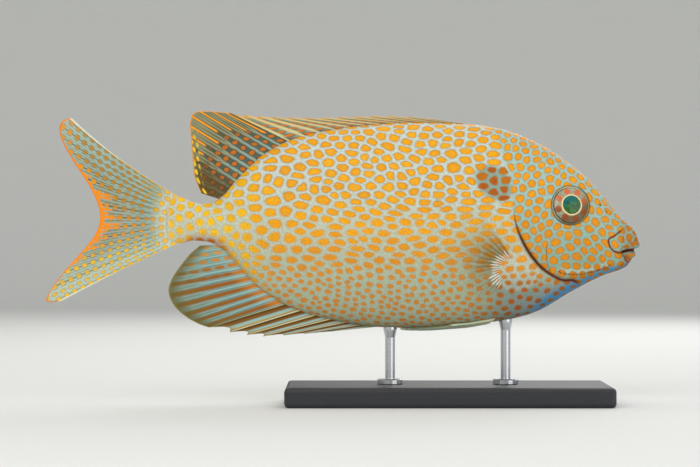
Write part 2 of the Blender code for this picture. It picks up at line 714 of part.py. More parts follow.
def build_pelvic_fin(name, side):
    rays = []
    for foot, middle, tip in PELVIC_RAYS:
        points = []
        for j in range(FIN_ROWS):
            t = j / (FIN_ROWS - 1)
            x = (1 - t) ** 2 * foot[0] + 2 * t * (1 - t) * middle[0] + t * t * tip[0]
            y = (1 - t) ** 2 * foot[1] + 2 * t * (1 - t) * middle[1] + t * t * tip[1]
            clear = tapered(PELVIC_CLEAR, min(t / PELVIC_CLEAR_BY, 1.0))
            points.append(Vector((x, side * y, belly_height(x, y) - clear)))
        points.insert(0, points[0] + Vector((PELVIC_ROOT_AHEAD, 0, FIN_SINK)))
        rays.append(points)
    return fin(name, rays, FINE_CREST, notch=RAY_NOTCH)


def build_rod(name, x):
    # A turned rod with a foot flange and a flared saddle, drawn too long so that the belly can trim it.
    low = BASE_SIZE[2] + GAP
    trimmed = AXIS_HEIGHT + belly(x)
    high = trimmed + ROD_SPARE
    flange = low + FLANGE_HEIGHT
    profile = [
        (0, high), (SADDLE_RADIUS, high), (SADDLE_RADIUS, trimmed - SADDLE_LIP),
        (ROD_RADIUS, trimmed - SADDLE_HEIGHT), (ROD_RADIUS, flange), (FLANGE_RADIUS - ROD_CHAMFER, flange),
        (FLANGE_RADIUS, flange - ROD_CHAMFER), (FLANGE_RADIUS, low), (0, low),
    ]
    mesh = bpy.data.meshes.new(name)
    mesh.from_pydata([(r * MM, 0, z * MM) for r, z in profile], [(i, i + 1) for i in range(len(profile) - 1)], [])
    drawn = bpy.data.objects.new(name + "_profile", mesh)
    FISH.objects.link(drawn)
    drawn.location = (x * MM, 0, 0)
    screw = drawn.modifiers.new("turn", "SCREW")
    screw.steps = screw.render_steps = ROD_SIDES
    screw.use_merge_vertices = True
    screw.merge_threshold = 0.00001
    return mesh_of(drawn, name)


def build_base():
    bm = bmesh.new()
    bmesh.ops.create_cube(bm, size=1.0)
    for vert in bm.verts:
        vert.co = Vector(size * share for size, share in zip(BASE_SIZE, vert.co)) * MM
    base = object_from(bm, "stand_base", smooth=False)
    base.location = (BASE_X * MM, 0, BASE_SIZE[2] / 2 * MM)
    bevel = base.modifiers.new("edges", "BEVEL")
    bevel.width = BASE_BEVEL * MM
    bevel.segments = 2
    return base


def paint(target, name, colour, roughness, metallic=0.0):
    material = bpy.data.materials.get(name) or bpy.data.materials.new(name)
    material.use_nodes = True
    shader = material.node_tree.nodes["Principled BSDF"]
    shader.inputs["Base Color"].default_value = (*colour, 1)
    shader.inputs["Roughness"].default_value = roughness
    shader.inputs["Metallic"].default_value = metallic
    target.data.materials.clear()
    target.data.materials.append(material)


for existing in list(bpy.data.objects):
    bpy.data.objects.remove(existing)
FISH = collection("rabbitfish")

flesh = [*build_head(), build_trunk(), build_tail_stalk()]
fins = [*build_midline_fins(), *build_tail_fins()]
eyes = []
for word, way in SIDES:
    fins.append(build_pectoral_fin("pectoral_fin_" + word, way))
    fins.append(build_pelvic_fin("pelvic_fin_" + word, way))
    eyes.append(eyeball("eye_" + word, way))
rods = [build_rod("stand_rod_" + word, x) for word, x in ROD_PLACES]
base = build_base()

clear_body = body("clear_body", GAP)
carved = []
for thin in fins + rods:
    tools = [copy_of(clear_body, "cut")]
    if thin.name.startswith("pectoral"):
        side = 1 if thin.name.endswith("left") else -1
        centre = on_skin(PECTORAL_X, PECTORAL_Z, side, -PECTORAL_PAD_SINK)
        grown = tuple(size + GAP for size in PECTORAL_PAD)
        tools.append(ball("pad_cut", centre, grown, skin_normal(PECTORAL_X, PECTORAL_Z, side), 18, 10))
    carved.append(combine(thin, tools, "DIFFERENCE"))
bpy.data.objects.remove(clear_body)

for piece in flesh:
    paint(piece, "spotted_skin", (0.78, 0.56, 0.25), 0.45)
for piece in carved:
    if piece.name.startswith("stand"):
        paint(piece, "stand_steel", (0.6, 0.6, 0.6), 0.3, 1.0)
    elif piece.name.startswith("pectoral"):
        paint(piece, "clear_fin", (0.75, 0.72, 0.5), 0.4)
    else:
        paint(piece, "fin_web", (0.5, 0.5, 0.3), 0.45)
for piece in eyes:
    paint(piece, "eye", (0.4, 0.35, 0.2), 0.1)
paint(base, "stand_black", (0.03, 0.03, 0.03), 0.5)
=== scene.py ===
# Looks of the gold-spotted rabbitfish model. Shapes are built in millimetres from the fish's long axis.
import math

import bpy
import numpy as np
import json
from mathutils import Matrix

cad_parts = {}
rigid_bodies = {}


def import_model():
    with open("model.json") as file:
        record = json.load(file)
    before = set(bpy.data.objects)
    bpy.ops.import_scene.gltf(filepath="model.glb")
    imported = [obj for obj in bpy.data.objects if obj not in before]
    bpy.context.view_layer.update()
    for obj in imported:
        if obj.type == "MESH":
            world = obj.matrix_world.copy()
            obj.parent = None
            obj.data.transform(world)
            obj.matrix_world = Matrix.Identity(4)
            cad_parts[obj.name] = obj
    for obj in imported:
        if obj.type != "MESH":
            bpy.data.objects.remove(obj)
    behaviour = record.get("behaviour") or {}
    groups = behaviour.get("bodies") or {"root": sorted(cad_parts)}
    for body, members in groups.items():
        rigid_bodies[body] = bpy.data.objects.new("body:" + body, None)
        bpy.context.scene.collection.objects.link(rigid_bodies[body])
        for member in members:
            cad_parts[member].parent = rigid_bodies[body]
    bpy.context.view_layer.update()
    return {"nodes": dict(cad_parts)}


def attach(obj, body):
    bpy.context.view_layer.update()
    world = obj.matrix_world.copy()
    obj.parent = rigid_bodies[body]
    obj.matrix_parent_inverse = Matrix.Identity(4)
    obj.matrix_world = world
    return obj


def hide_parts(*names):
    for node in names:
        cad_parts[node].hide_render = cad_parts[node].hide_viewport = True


for existing in list(bpy.data.objects):
    bpy.data.objects.remove(existing)
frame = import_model()
axisHeight = 92.0
sides = (("left", 1), ("right", -1))


def smoothStep(low, high, value):
    t = np.clip((value - low) / (high - low), 0.0, 1.0)
    return t * t * (3 - 2 * t)


def bell(value, width):
    return np.exp(-((value / width) ** 2))


def through(knots):
    # A smooth curve through (x, value) knots that never swings past them.
    xs, values = np.array(sorted(knots)).T
    slopes = np.diff(values) / np.diff(xs)
    tangents = np.zeros(len(xs))
    tangents[0], tangents[-1] = slopes[0], slopes[-1]
    for i, (before, after) in enumerate(zip(slopes, slopes[1:])):
        tangents[i + 1] = 0.0 if before * after <= 0 else 2 * before * after / (before + after)

    def at(x):
        x = np.clip(x, xs[0], xs[-1])
        i = np.clip(np.searchsorted(xs, x, side="right") - 1, 0, len(xs) - 2)
        span = xs[i + 1] - xs[i]
        t = (x - xs[i]) / span
        rise = values[i + 1] - values[i]
        start, end = tangents[i] * span, tangents[i + 1] * span
        return values[i] + t * (start + t * (3 * rise - 2 * start - end + t * (start + end - 2 * rise)))

    return at


def spline(a, b, c, d, t):
    # A smooth curve from b to c that knows of a before them and d after.
    bend = (c - a) * t + (2 * a - 5 * b + 4 * c - d) * t * t + (3 * b - a - 3 * c + d) * t**3
    return b + bend / 2


def curved(points, pieces=8):
    # The same points joined by a smooth curve, as closer points.
    points = np.array(points, float)
    last = len(points) - 1
    made = []
    for i in range(last):
        four = points[np.clip([i - 1, i, i + 1, i + 2], 0, last)]
        made += [spline(*four, t) for t in np.arange(pieces) / pieces]
    return np.array([*made, points[-1]])


def lineDistance(x, z, line):
    # Distance of places seen from the side to a line, positive towards its left.
    best = np.full(np.shape(x), np.inf)
    signed = np.zeros(np.shape(x))
    for (ax, az), (bx, bz) in zip(line, line[1:]):
        dx, dz = bx - ax, bz - az
        length = math.hypot(dx, dz)
        t = np.clip(((x - ax) * dx + (z - az) * dz) / length**2, 0.0, 1.0)
        away = np.hypot(x - ax - t * dx, z - az - t * dz)
        nearer = away < best
        best = np.where(nearer, away, best)
        signed = np.where(nearer, np.copysign(away, dx * (z - az) - dz * (x - ax)), signed)
    return signed


def placed(points):
    # Places in the frame, in metres, of points in millimetres from the fish's long axis.
    return (np.asarray(points) + (0.0, 0.0, axisHeight)) * 0.001


def gridFaces(rows, columns, closed=False):
    # The four-cornered faces of rows of points, each row closed round where its ends meet.
    i, k = np.meshgrid(np.arange(rows - 1), np.arange(columns if closed else columns - 1), indexing="ij")
    near, far = i * columns, (i + 1) * columns
    following = (k + 1) % columns
    return np.stack([near + k, far + k, far + following, near + following], -1).reshape(-1, 4)


def meshObject(name, points, faces, values=None):
    # A smooth object from placed points, with named numbers or vectors kept at its points.
    mesh = bpy.data.meshes.new(name)
    mesh.from_pydata(np.asarray(points).tolist(), [], [list(face) for face in faces])
    for word, kept in (values or {}).items():
        kept = np.asarray(kept, float)
        if kept.ndim == 1:
            mesh.attributes.new(word, "FLOAT", "POINT").data.foreach_set("value", kept)
        else:
            mesh.attributes.new(word, "FLOAT_VECTOR", "POINT").data.foreach_set("vector", kept.ravel())
    mesh.shade_smooth()
    mesh.update()
    made = bpy.data.objects.new(name, mesh)
    bpy.context.scene.collection.objects.link(made)
    return made


# The body without its fins: outline knots from the snout to the root of the tail fin.
body = {
    "back": [
        (148.9, -8.8), (148.0, -6.0), (146.3, -3.2), (143.9, -1.0), (139.9, 2.4), (131.8, 12.9),
        (123.7, 21.8), (115.6, 28.5), (99.4, 39.3), (79.2, 47.2), (63.5, 49.4), (36.2, 50.4),
        (8.9, 48.7), (-8.0, 46.4), (-25.0, 42.2), (-39.2, 35.0), (-54.4, 21.0), (-61.0, 13.4),
        (-66.5, 9.9), (-71.6, 9.1), (-77.2, 10.4), (-82.7, 12.6), (-86.5, 12.2), (-89.5, 8.0),
    ],
    "belly": [
        (148.9, -11.6), (147.6, -14.2), (146.4, -17.4), (145.0, -20.2), (142.6, -22.8), (139.9, -24.1),
        (131.8, -26.8), (115.6, -34.9), (99.4, -44.4), (91.3, -47.4), (79.2, -50.0), (58.9, -52.0),
        (35.7, -53.6), (15.9, -53.0), (-4.8, -49.6), (-23.5, -44.4), (-42.0, -33.9), (-57.5, -17.4),
        (-63.0, -12.4), (-68.5, -10.0), (-76.0, -9.4), (-81.5, -10.6), (-86.5, -10.4), (-89.5, -7.0),
    ],
    "halfWidth": [
        (148.9, 1.9), (148.0, 3.1), (146.3, 4.5), (143.9, 5.8), (139.9, 7.4), (131.8, 9.9), (123.7, 12.1),
        (114.0, 14.0), (104.0, 15.9), (91.0, 17.7), (75.0, 18.9), (55.0, 19.3), (35.0, 18.8), (15.0, 17.3),
        (-5.0, 14.9), (-25.0, 11.8), (-42.0, 8.9), (-55.0, 6.7), (-66.0, 5.0), (-76.0, 3.7), (-84.0, 2.2),
        (-89.5, 0.9),
    ],
    "widest": [
        (148.9, -10.2), (140.0, -10.0), (125.0, -6.0), (110.0, -4.0), (80.0, -6.0), (40.0, -6.0),
        (0.0, -3.0), (-40.0, -1.0), (-70.0, -0.3), (-89.5, 0.5),
    ],
    "backFullness": 2.0,  # 2 is an ellipse, more is squarer
    "bellyFullness": 2.2,
    "steps": ((146.0, 0.25), (80.0, 0.55), (-89.5, 0.95)),  # down to this x, apart by this much
    "halfAround": 120,
    "sampled": 721,  # points of a cross-section before they are spaced evenly
}
# Lines of the head, as (x, height) seen from the side.
headLines = {
    "gill": [
        (66.0, 62.0), (77.5, 40.0), (84.4, 17.0), (85.8, 1.0), (90.6, -11.5), (98.8, -22.5), (109.0, -29.0),
        (118.0, -31.0), (124.0, -46.0),
    ],
    "cheek": [(101.6, -12.0), (101.7, -15.8), (102.0, -20.2), (103.7, -24.8)],
    "lowerCheek": [(109.5, -24.2), (116.0, -24.9), (124.0, -23.8), (132.7, -21.6)],
    "jaw": [(139.6, -4.6), (136.4, -7.0), (133.5, -8.8), (133.9, -12.0), (136.1, -14.7), (139.0, -15.6)],
    "lip": [(141.0, -15.6), (141.5, -17.6), (142.6, -19.6), (144.4, -20.8)],
    "mouth": [(140.2, -15.2), (143.2, -14.3), (146.2, -14.1), (153.0, -14.3)],
    "lateral": [
        (84.0, 26.0), (70.0, 33.0), (50.0, 38.0), (25.0, 39.5), (0.0, 37.0), (-20.0, 31.0), (-40.0, 20.0),
        (-55.0, 9.0), (-70.0, 1.5), (-86.0, 1.0),
    ],
}
# How deep and how wide each crease is. The line along the flank stands proud.
creases = {
    "cheek": (0.22, 0.5),
    "lowerCheek": (0.2, 0.6),
    "jaw": (0.3, 0.45),
    "lip": (0.3, 0.4),
    "lateral": (-0.12, 0.5),
}
mouthSlit = {"deep": 0.9, "wide": 0.6, "from": (139.8, 142.0)}
gillCover = {
    "flare": 0.8,  # how far its edge stands out past the trunk
    "starts": (108.0, 94.0),  # x between which the flare grows
    "top": (30.0, 12.0),  # heights between which it fades in, from above and from below
    "bottom": (-46.0, -30.0),
    "edge": 0.35,
}
gillCut = {
    "deep": 0.3,
    "deeper": 0.4,  # added to that at its lower end
    "deepens": (6.0, -14.0),
    "wide": 0.6,
    "top": (18.0, 10.0),
    "bottom": (-33.5, -30.0),
}
nostrils = {
    "places": ((129.4, 8.6, 0.75), (132.6, 5.2, 0.6)),  # x, height, radius
    "deep": 0.5,
    "rimHigh": 0.2,
    "rimWide": 0.35,
    "rimAt": 1.5,  # radii from the middle
}
eye = {
    "x": 114.0,
    "z": 8.3,
    "radius": 10.6,
    "depth": 4.8,
    "sink": 2.5,
    "rim": 10.7,
    "rimHigh": 0.55,
    "rimWide": 0.8,
    "socket": ((0.4, 1.3, 1.3), (1.3, 3.6, 3.6)),  # each step's start and end within the rim, and its depth
    "rings": 56,
    "around": 96,
}
blotch = {
    "x": 75.6,
    "z": 19.7,
    "slant": 0.3,
    "edge": (11.0, 7.0),
    "spots": [  # place and how dark
        (68.8, 27.9, 0.2), (74.4, 26.2, 1.0), (79.7, 25.2, 0.75), (69.3, 22.8, 0.8), (75.0, 20.3, 1.0),
        (81.0, 20.7, 0.8), (70.4, 17.6, 1.0), (74.9, 14.6, 1.0), (80.6, 16.4, 1.0), (79.6, 11.9, 1.0),
    ],
}
# The fleshy root of the pectoral fin.
pad = {"x": 86.5, "z": -24.5, "long": 11.4, "deep": 3.6, "high": 9.8, "sink": 2.0, "blend": 0.15}

lines = {word: curved(points) for word, points in headLines.items()}
back = through(body["back"])
belly = through(body["belly"])
halfWidth = through(body["halfWidth"])
widest = through(body["widest"])


def flank(x, z):
    # How far the smooth body stands out from the midline at this place.
    level = widest(x)
    up = z > level
    share = np.clip((z - level) / np.where(up, back(x) - level, belly(x) - level), 0.0, 1.0)
    fullness = np.where(up, body["backFullness"], body["bellyFullness"])
    return halfWidth(x) * np.maximum(1 - share**fullness, 0.0) ** (1 / fullness)


def skinNormal(x, z, side):
    step = 1.0
    along = (flank(x + step, z) - flank(x - step, z)) / (2 * step)
    up = (flank(x, z + step) - flank(x, z - step)) / (2 * step)
    made = np.array([-along, side * 1.0, -up])
    return made / np.linalg.norm(made)


def onSkin(x, z, side, out=0.0):
    return np.array([x, side * flank(x, z), z]) + skinNormal(x, z, side) * out


def bellyHeight(x, y):
    level = widest(x)
    share = min(abs(y) / halfWidth(x), 1.0)
    fullness = body["bellyFullness"]
    return level - (level - belly(x)) * (1 - share**fullness) ** (1 / fullness)


def section(x):
    # Evenly spaced points of one flank at x, from back to belly, and their arc from the widest level.
    turns = np.linspace(math.pi / 2, -math.pi / 2, body["sampled"])
    level = widest(x)
    up = np.sin(turns) > 0
    reach = np.where(up, back(x) - level, level - belly(x))
    power = 2 / np.where(up, body["backFullness"], body["bellyFullness"])
    y = halfWidth(x) * np.abs(np.cos(turns)) ** power
    z = level + reach * np.copysign(np.abs(np.sin(turns)) ** power, np.sin(turns))
    arc = np.concatenate([[0.0], np.cumsum(np.hypot(np.diff(y), np.diff(z)))])
    wanted = np.linspace(0.0, arc[-1], body["halfAround"] + 1)
    levelArc = np.interp(level, z[::-1], arc[::-1])
    return np.interp(wanted, arc, y), np.interp(wanted, arc, z), levelArc - wanted


def relief(x, z):
    # How far the skin stands out from the smooth body, by place seen from the side.
    gill = lineDistance(x, z, lines["gill"])
    low = smoothStep(*gillCover["top"], z) * smoothStep(*gillCover["bottom"], z)
    cover = gillCover["flare"] * smoothStep(*gillCover["starts"], x) * low
    out = cover * smoothStep(-gillCover["edge"], gillCover["edge"], gill)
    cut = smoothStep(*gillCut["top"], z) * smoothStep(*gillCut["bottom"], z)
    deep = gillCut["deep"] + gillCut["deeper"] * smoothStep(*gillCut["deepens"], z)
    out = out - deep * bell(gill, gillCut["wide"]) * cut
    away = np.hypot(x - eye["x"], z - eye["z"])
    out = out + eye["rimHigh"] * bell(away - eye["rim"], eye["rimWide"])
    for start, end, depth in eye["socket"]:
        out = out - depth * smoothStep(eye["rim"] - start, eye["rim"] - end, away)
    across = ((x - pad["x"]) / pad["long"]) ** 2 + ((z - pad["z"]) / pad["high"]) ** 2
    raised = pad["deep"] * np.sqrt(np.maximum(1 - across, 0.0)) - pad["sink"]
    out = out + np.where(across < 1, 0.5 * (raised + np.sqrt(raised**2 + pad["blend"])), 0.0)
    for word, (depth, width) in creases.items():
        out = out - depth * bell(lineDistance(x, z, lines[word]), width)
    for nx, nz, radius in nostrils["places"]:
        away = np.hypot(x - nx, z - nz)
        rim = nostrils["rimHigh"] * bell(away - radius * nostrils["rimAt"], nostrils["rimWide"])
        out = out + rim - nostrils["deep"] * bell(away, radius)
    slit = bell(lineDistance(x, z, lines["mouth"]), mouthSlit["wide"])
    return out - mouthSlit["deep"] * slit * smoothStep(*mouthSlit["from"], x)


spots = {
    "seeds": (11, 23),
    "samples": 26000,  # places that the spots share out among them
    "jitter": 0.45,  # how far a place is shaken off the grid, in millimetres
    "tries": 12000,
    "apart": 0.8,  # least gap in the first scatter, as a share of the spacing
    "rounds": 18,  # of moving each spot towards the middle of its cell
    "haste": 1.2,
    "measured": 0.5,  # share of a spot's form that comes from its cell's own form
    "spread": 13,  # spacing squared over this is the mean square of an even cell
    "variation": 0.05,
    "net": 0.48,  # how wide the net between two spots is kept
    "netPull": 1.1,
    "rounding": 5.0,
    "batch": 4000,  # places measured at a time
}
# By region: spacing of the spots along and across the body, and the share of it that a spot's width takes.
spacing = {
    "flank": (7.5, 3.8, 0.88), "high": (6.5, 4.35, 0.98), "rear": (7.4, 4.9, 0.95), "low": (4.5, 3.45, 0.62),
    "stalk": (5.4, 5.1, 0.8), "head": (4.85, 4.7, 0.82), "breast": (5.0, 4.6, 0.6),
}


def pitch(x, z):
    # The spacing and the share at each place, blended from region to region.
    masks = {
        "high": smoothStep(2.0, 22.0, z),
        "rear": smoothStep(0.0, -24.0, x) * smoothStep(-24.0, -8.0, z),
        "low": smoothStep(-16.0, -30.0, z),
        "stalk": smoothStep(-38.0, -58.0, x),
        "head": smoothStep(-1.0, 1.0, lineDistance(x, z, lines["gill"])),
        "breast": smoothStep(-26.0, -36.0, z) * smoothStep(60.0, 84.0, x),
    }
    found = spacing["flank"]
    for region, mask in masks.items():
        found = [old + (new - old) * mask for old, new in zip(found, spacing[region])]
    return found


def nearestSpot(points, centres, forms, second=False):
    # Which spot is nearest, the distance to it, with its edge at 1, and that to the second nearest.
    owner = np.zeros(len(points), int)
    away, other = np.zeros((2, len(points)))
    for start in range(0, len(points), spots["batch"]):
        batch = slice(start, start + spots["batch"])
        gaps = points[batch, None, :] - centres[None, :, :]
        dx, ds = gaps[..., 0], gaps[..., 1]
        found = forms[:, 0] * dx**2 + 2 * forms[:, 1] * dx * ds + forms[:, 2] * ds**2
        best = found.argmin(axis=1)
        rows = np.arange(len(best))
        owner[batch] = best
        away[batch] = np.sqrt(np.maximum(found[rows, best], 0.0))
        if second:
            found[rows, best] = np.inf
            other[batch] = np.sqrt(found.min(axis=1))
    return owner, away, other


def averaged(owner, values, count):
    # The mean of each column of values over the places that each spot owns.
    shares = np.maximum(np.bincount(owner, minlength=count), 1)[:, None]
    return np.stack([np.bincount(owner, column, count) for column in values.T], 1) / shares


def spreadSpots(x, z, arc, area, seed):
    # Evenly spread spots over one flank, given its grid of places: those of the blotch and then the others.
    rng = np.random.default_rng(seed)
    sizes = np.stack(pitch(x, z), 1)
    chance = area / (sizes[:, 0] * sizes[:, 1])
    picked = rng.choice(len(x), spots["samples"], p=chance / chance.sum())
    held = [np.hypot(x - spotX, z - spotZ).argmin() for spotX, spotZ, _ in blotch["spots"]]
    fixed = len(held)
    picked = np.concatenate([held, picked])
    points = np.stack([x[picked], arc[picked]], 1).astype(np.float32)
    points[fixed:] += rng.uniform(-spots["jitter"], spots["jitter"], points[fixed:].shape).astype(np.float32)
    sizes = sizes[picked].astype(np.float32)
    # A first scatter that keeps its distance, then evened out.
    first = list(range(fixed))
    for k in range(fixed, spots["tries"]):
        gaps = (points[first] - points[k]) / sizes[k, :2]
        if (gaps**2).sum(1).min() > spots["apart"] ** 2:
            first.append(k)
    centres, own = points[first], sizes[first]
    count = len(centres)
    for _ in range(spots["rounds"]):
        forms = np.stack([own[:, 0] ** -2, own[:, 0] * 0, own[:, 1] ** -2], 1).astype(np.float32)
        owner, _, _ = nearestSpot(points, centres, forms)
        moved = averaged(owner, points, count)
        centres[fixed:] += ((moved - centres) * spots["haste"]).astype(np.float32)[fixed:]
        own = averaged(owner, sizes, count)
    away = points - centres[owner]
    squares = np.stack([away[:, a] * away[:, b] for a, b in ((0, 0), (0, 1), (1, 1))], 1)
    found = averaged(owner, squares, count)
    usual = np.stack([own[:, 0] ** 2 / spots["spread"], own[:, 0] * 0, own[:, 1] ** 2 / spots["spread"]], 1)
    xx, xs, ss = (spots["measured"] * found + (1 - spots["measured"]) * usual).T
    grown = 4 * (own[:, 2] * rng.normal(1.0, spots["variation"], count)) ** 2
    flat = xx * ss - xs**2
    return centres, np.stack([ss / flat, -xs / flat, xx / flat], 1) / grown[:, None], rng


def bodyGrid():
    # Places of one flank from snout to tail, and their arcs.
    xs = [body["back"][0][0]]
    for limit, step in body["steps"]:
        count = math.ceil((xs[-1] - limit) / step)
        xs += list(np.linspace(xs[-1], limit, count + 1)[1:])
    rows = [section(x) for x in xs]
    x = np.repeat(np.array(xs)[:, None], body["halfAround"] + 1, 1)
    return x, *(np.array([row[k] for row in rows]) for k in range(3))


def skinMarks(x, z, arc, seed, area):
    # Everything that the skin's material needs to know of one flank's places.
    flatX, flatZ, flatArc = x.ravel(), z.ravel(), arc.ravel()
    centres, forms, rng = spreadSpots(flatX, flatZ, flatArc, area, seed)
    owner, away, other = nearestSpot(np.stack([flatX, flatArc], 1), centres, forms, True)
    cell = np.maximum(1 + (spots["net"] - (other - away)) * spots["netPull"], 0.0)
    power = spots["rounding"]
    away = (away**power + cell**power) ** (1 / power)
    tones = rng.uniform(0.0, 1.0, len(centres))
    dark = np.zeros(len(centres))
    dark[:len(blotch["spots"])] = [depth for _, _, depth in blotch["spots"]]
    level = widest(x)
    above, below = z > level, z < level
    share = (z - level) / (np.where(above, back(x), belly(x)) - level)
    under = smoothStep(0.45, 0.95, share) * smoothStep(-50.0, -66.0, x) * smoothStep(-84.0, -74.0, x)
    inBlotch = np.hypot(x - blotch["x"] + blotch["slant"] * (z - blotch["z"]), z - blotch["z"])
    marks = {
        "spot": away,
        "tone": tones[owner],
        "mark": dark[owner],
        # 0 low on the body and 1 high up: it sets the painted shade lower down, and how sharp the spots are.
        "high": smoothStep(-40.0, 30.0, z),
        "stalk": smoothStep(-30.0, -62.0, x),
        "end": smoothStep(-87.4, -89.2, x),
        "head": smoothStep(-2.0, 2.0, lineDistance(x, z, lines["gill"])),
        "snout": smoothStep(128.0, 142.0, x),
        "breast": smoothStep(-24.0, -36.0, z) * smoothStep(56.0, 88.0, x),
        # Where blue light from below is painted, at the bottom of the head.
        "chinBlueLight": below * smoothStep(0.68, 0.93, share) * smoothStep(78.0, 106.0, x),
        "crown": above * smoothStep(0.93, 1.0, share) * smoothStep(90.0, 110.0, x),
        "under": (z < 0) * under,
        "blotch": smoothStep(*blotch["edge"], inBlotch),
        "pad": smoothStep(1.15, 0.9, np.hypot((x - pad["x"]) / pad["long"], (z - pad["z"]) / pad["high"])),
        "orbit": np.hypot(x - eye["x"], z - eye["z"]) - eye["rim"],
        "nose": np.min([np.hypot(x - nx, z - nz) / radius for nx, nz, radius in nostrils["places"]], axis=0),
        "deep": smoothStep(*gillCut["deepens"], z),
        "gillRun": smoothStep(11.0, -2.0, z) * smoothStep(119.5, 116.0, x),
        "chart": np.stack([flatX, flatArc, np.full(flatX.shape, 10.0 * seed)], 1),
    }
    for word in ("gill", "cheek", "lowerCheek", "jaw", "lip", "mouth"):
        marks[word] = lineDistance(x, z, lines[word])
    shapes = {"chart": (*x.shape, 3)}
    return {word: np.reshape(kept, shapes.get(word, x.shape)) for word, kept in marks.items()}


def ringed(left, right):
    # Rings that run down the left flank and up the right one.
    return np.concatenate([left, right[:, -2:0:-1]], axis=1)


def buildSkin():
    x, y, z, arc = bodyGrid()
    rows, columns = ([np.gradient(part, axis=k) for part in (x, y, z)] for k in (0, 1))
    area = np.linalg.norm(np.cross(np.stack(rows, -1), np.stack(columns, -1)), axis=-1).ravel()
    lift = relief(x, z)
    flanks, marks = [], []
    for (_, side), seed in zip(sides, spots["seeds"]):
        grid = np.stack([x, y * side, z], -1)
        normal = np.cross(np.gradient(grid, axis=1), np.gradient(grid, axis=0)) * side
        normal /= np.maximum(np.linalg.norm(normal, axis=-1, keepdims=True), 1e-9)
        grid = grid + normal * lift[..., None]
        grid[:, 0, 1] = grid[:, -1, 1] = 0.0
        flanks.append(grid)
        marks.append(skinMarks(x, z, arc, seed, area))

    ring = ringed(*flanks)
    count, around = ring.shape[:2]
    kept = {}
    for word in marks[0]:
        joined = ringed(marks[0][word], marks[1][word])
        kept[word] = joined.reshape(-1, 3) if joined.ndim == 3 else joined.ravel()
    faces = gridFaces(count, around, True).tolist()
    faces.append(list(range(around)))
    faces.append(list(range(count * around - 1, (count - 1) * around - 1, -1)))
    return meshObject("skin", placed(ring.reshape(-1, 3)), faces, kept)


skin = buildSkin()
print("skin", len(skin.data.polygons), "faces")

lip = {
    "halves": {  # each from the corner of the mouth to its middle, as (x, y, height, radius)
        "upper": [
            (140.2, 7.0, -14.2, 0.5), (143.2, 6.0, -12.6, 1.4), (146.4, 4.2, -11.7, 1.8),
            (148.2, 0.0, -11.4, 1.8),
        ],
        "lower": [
            (140.4, 6.8, -15.8, 0.5), (143.0, 5.5, -16.2, 1.5), (145.0, 3.5, -16.3, 1.9),
            (146.0, 0.0, -16.3, 1.9),
        ],
    },
    "pieces": 10,
    "around": 20,
    "seed": 5,
    "spots": [(142.6, -12.3), (145.6, -11.2), (147.9, -10.6), (142.9, -17.2), (145.6, -16.6)],
    "spotForm": (0.6, 0.0, 0.8),
    "far": 9.0,  # distance that keeps a line of the head off the lips
    "high": 0.4,
    "chart": 900,
}


def beadAlong(path, around):
    # A round bead along (x, y, height, radius) points, as points and faces.
    middle, radius = path[:, :3], path[:, 3]
    along = np.gradient(middle, axis=0)
    along /= np.linalg.norm(along, axis=1, keepdims=True)
    up = np.cross(along, (0.0, 0.0, 1.0))
    up /= np.linalg.norm(up, axis=1, keepdims=True)
    other = np.cross(along, up)
    turn = 2 * math.pi * np.arange(around) / around
    ring = up[:, None] * np.cos(turn)[:, None] + other[:, None] * np.sin(turn)[:, None]
    points = (middle[:, None] + ring * radius[:, None, None]).reshape(-1, 3)
    faces = gridFaces(len(path), around, True)[:, [0, 3, 2, 1]].tolist()
    faces.append(list(range(around - 1, -1, -1)))
    faces.append(list(range((len(path) - 1) * around, len(path) * around)))
    return points, faces


def buildLip(word):
    half = lip["halves"][word]
    path = curved(half + [(x, -y, z, radius) for x, y, z, radius in reversed(half[:-1])], lip["pieces"])
    points, faces = beadAlong(path, lip["around"])
    x, z = points[:, 0], points[:, 2]
    centres = np.array(lip["spots"])
    forms = np.array([lip["spotForm"]] * len(centres))
    owner, away, _ = nearestSpot(np.stack([x, z], 1), centres, forms)
    tones = np.random.default_rng(lip["seed"]).uniform(0, 1, len(centres))
    kept = {mark.name: np.zeros(len(x)) for mark in skin.data.attributes if mark.data_type == "FLOAT"}
    for mark in ("gill", "cheek", "lowerCheek", "jaw", "lip", "orbit", "nose"):
        kept[mark] += lip["far"]
    for mark in ("head", "snout"):
        kept[mark] += 1
    kept["high"] += lip["high"]
    kept["spot"] = away
    kept["tone"] = tones[owner]
    kept["mouth"] = lineDistance(x, z, lines["mouth"])
    kept["chart"] = np.stack([x, z, x * 0 + lip["chart"]], 1)
    return meshObject("lip_" + word, placed(points), faces, kept)


lips = [buildLip(word) for word in lip["halves"]]
print("lips", sum(len(piece.data.polygons) for piece in lips), "faces")

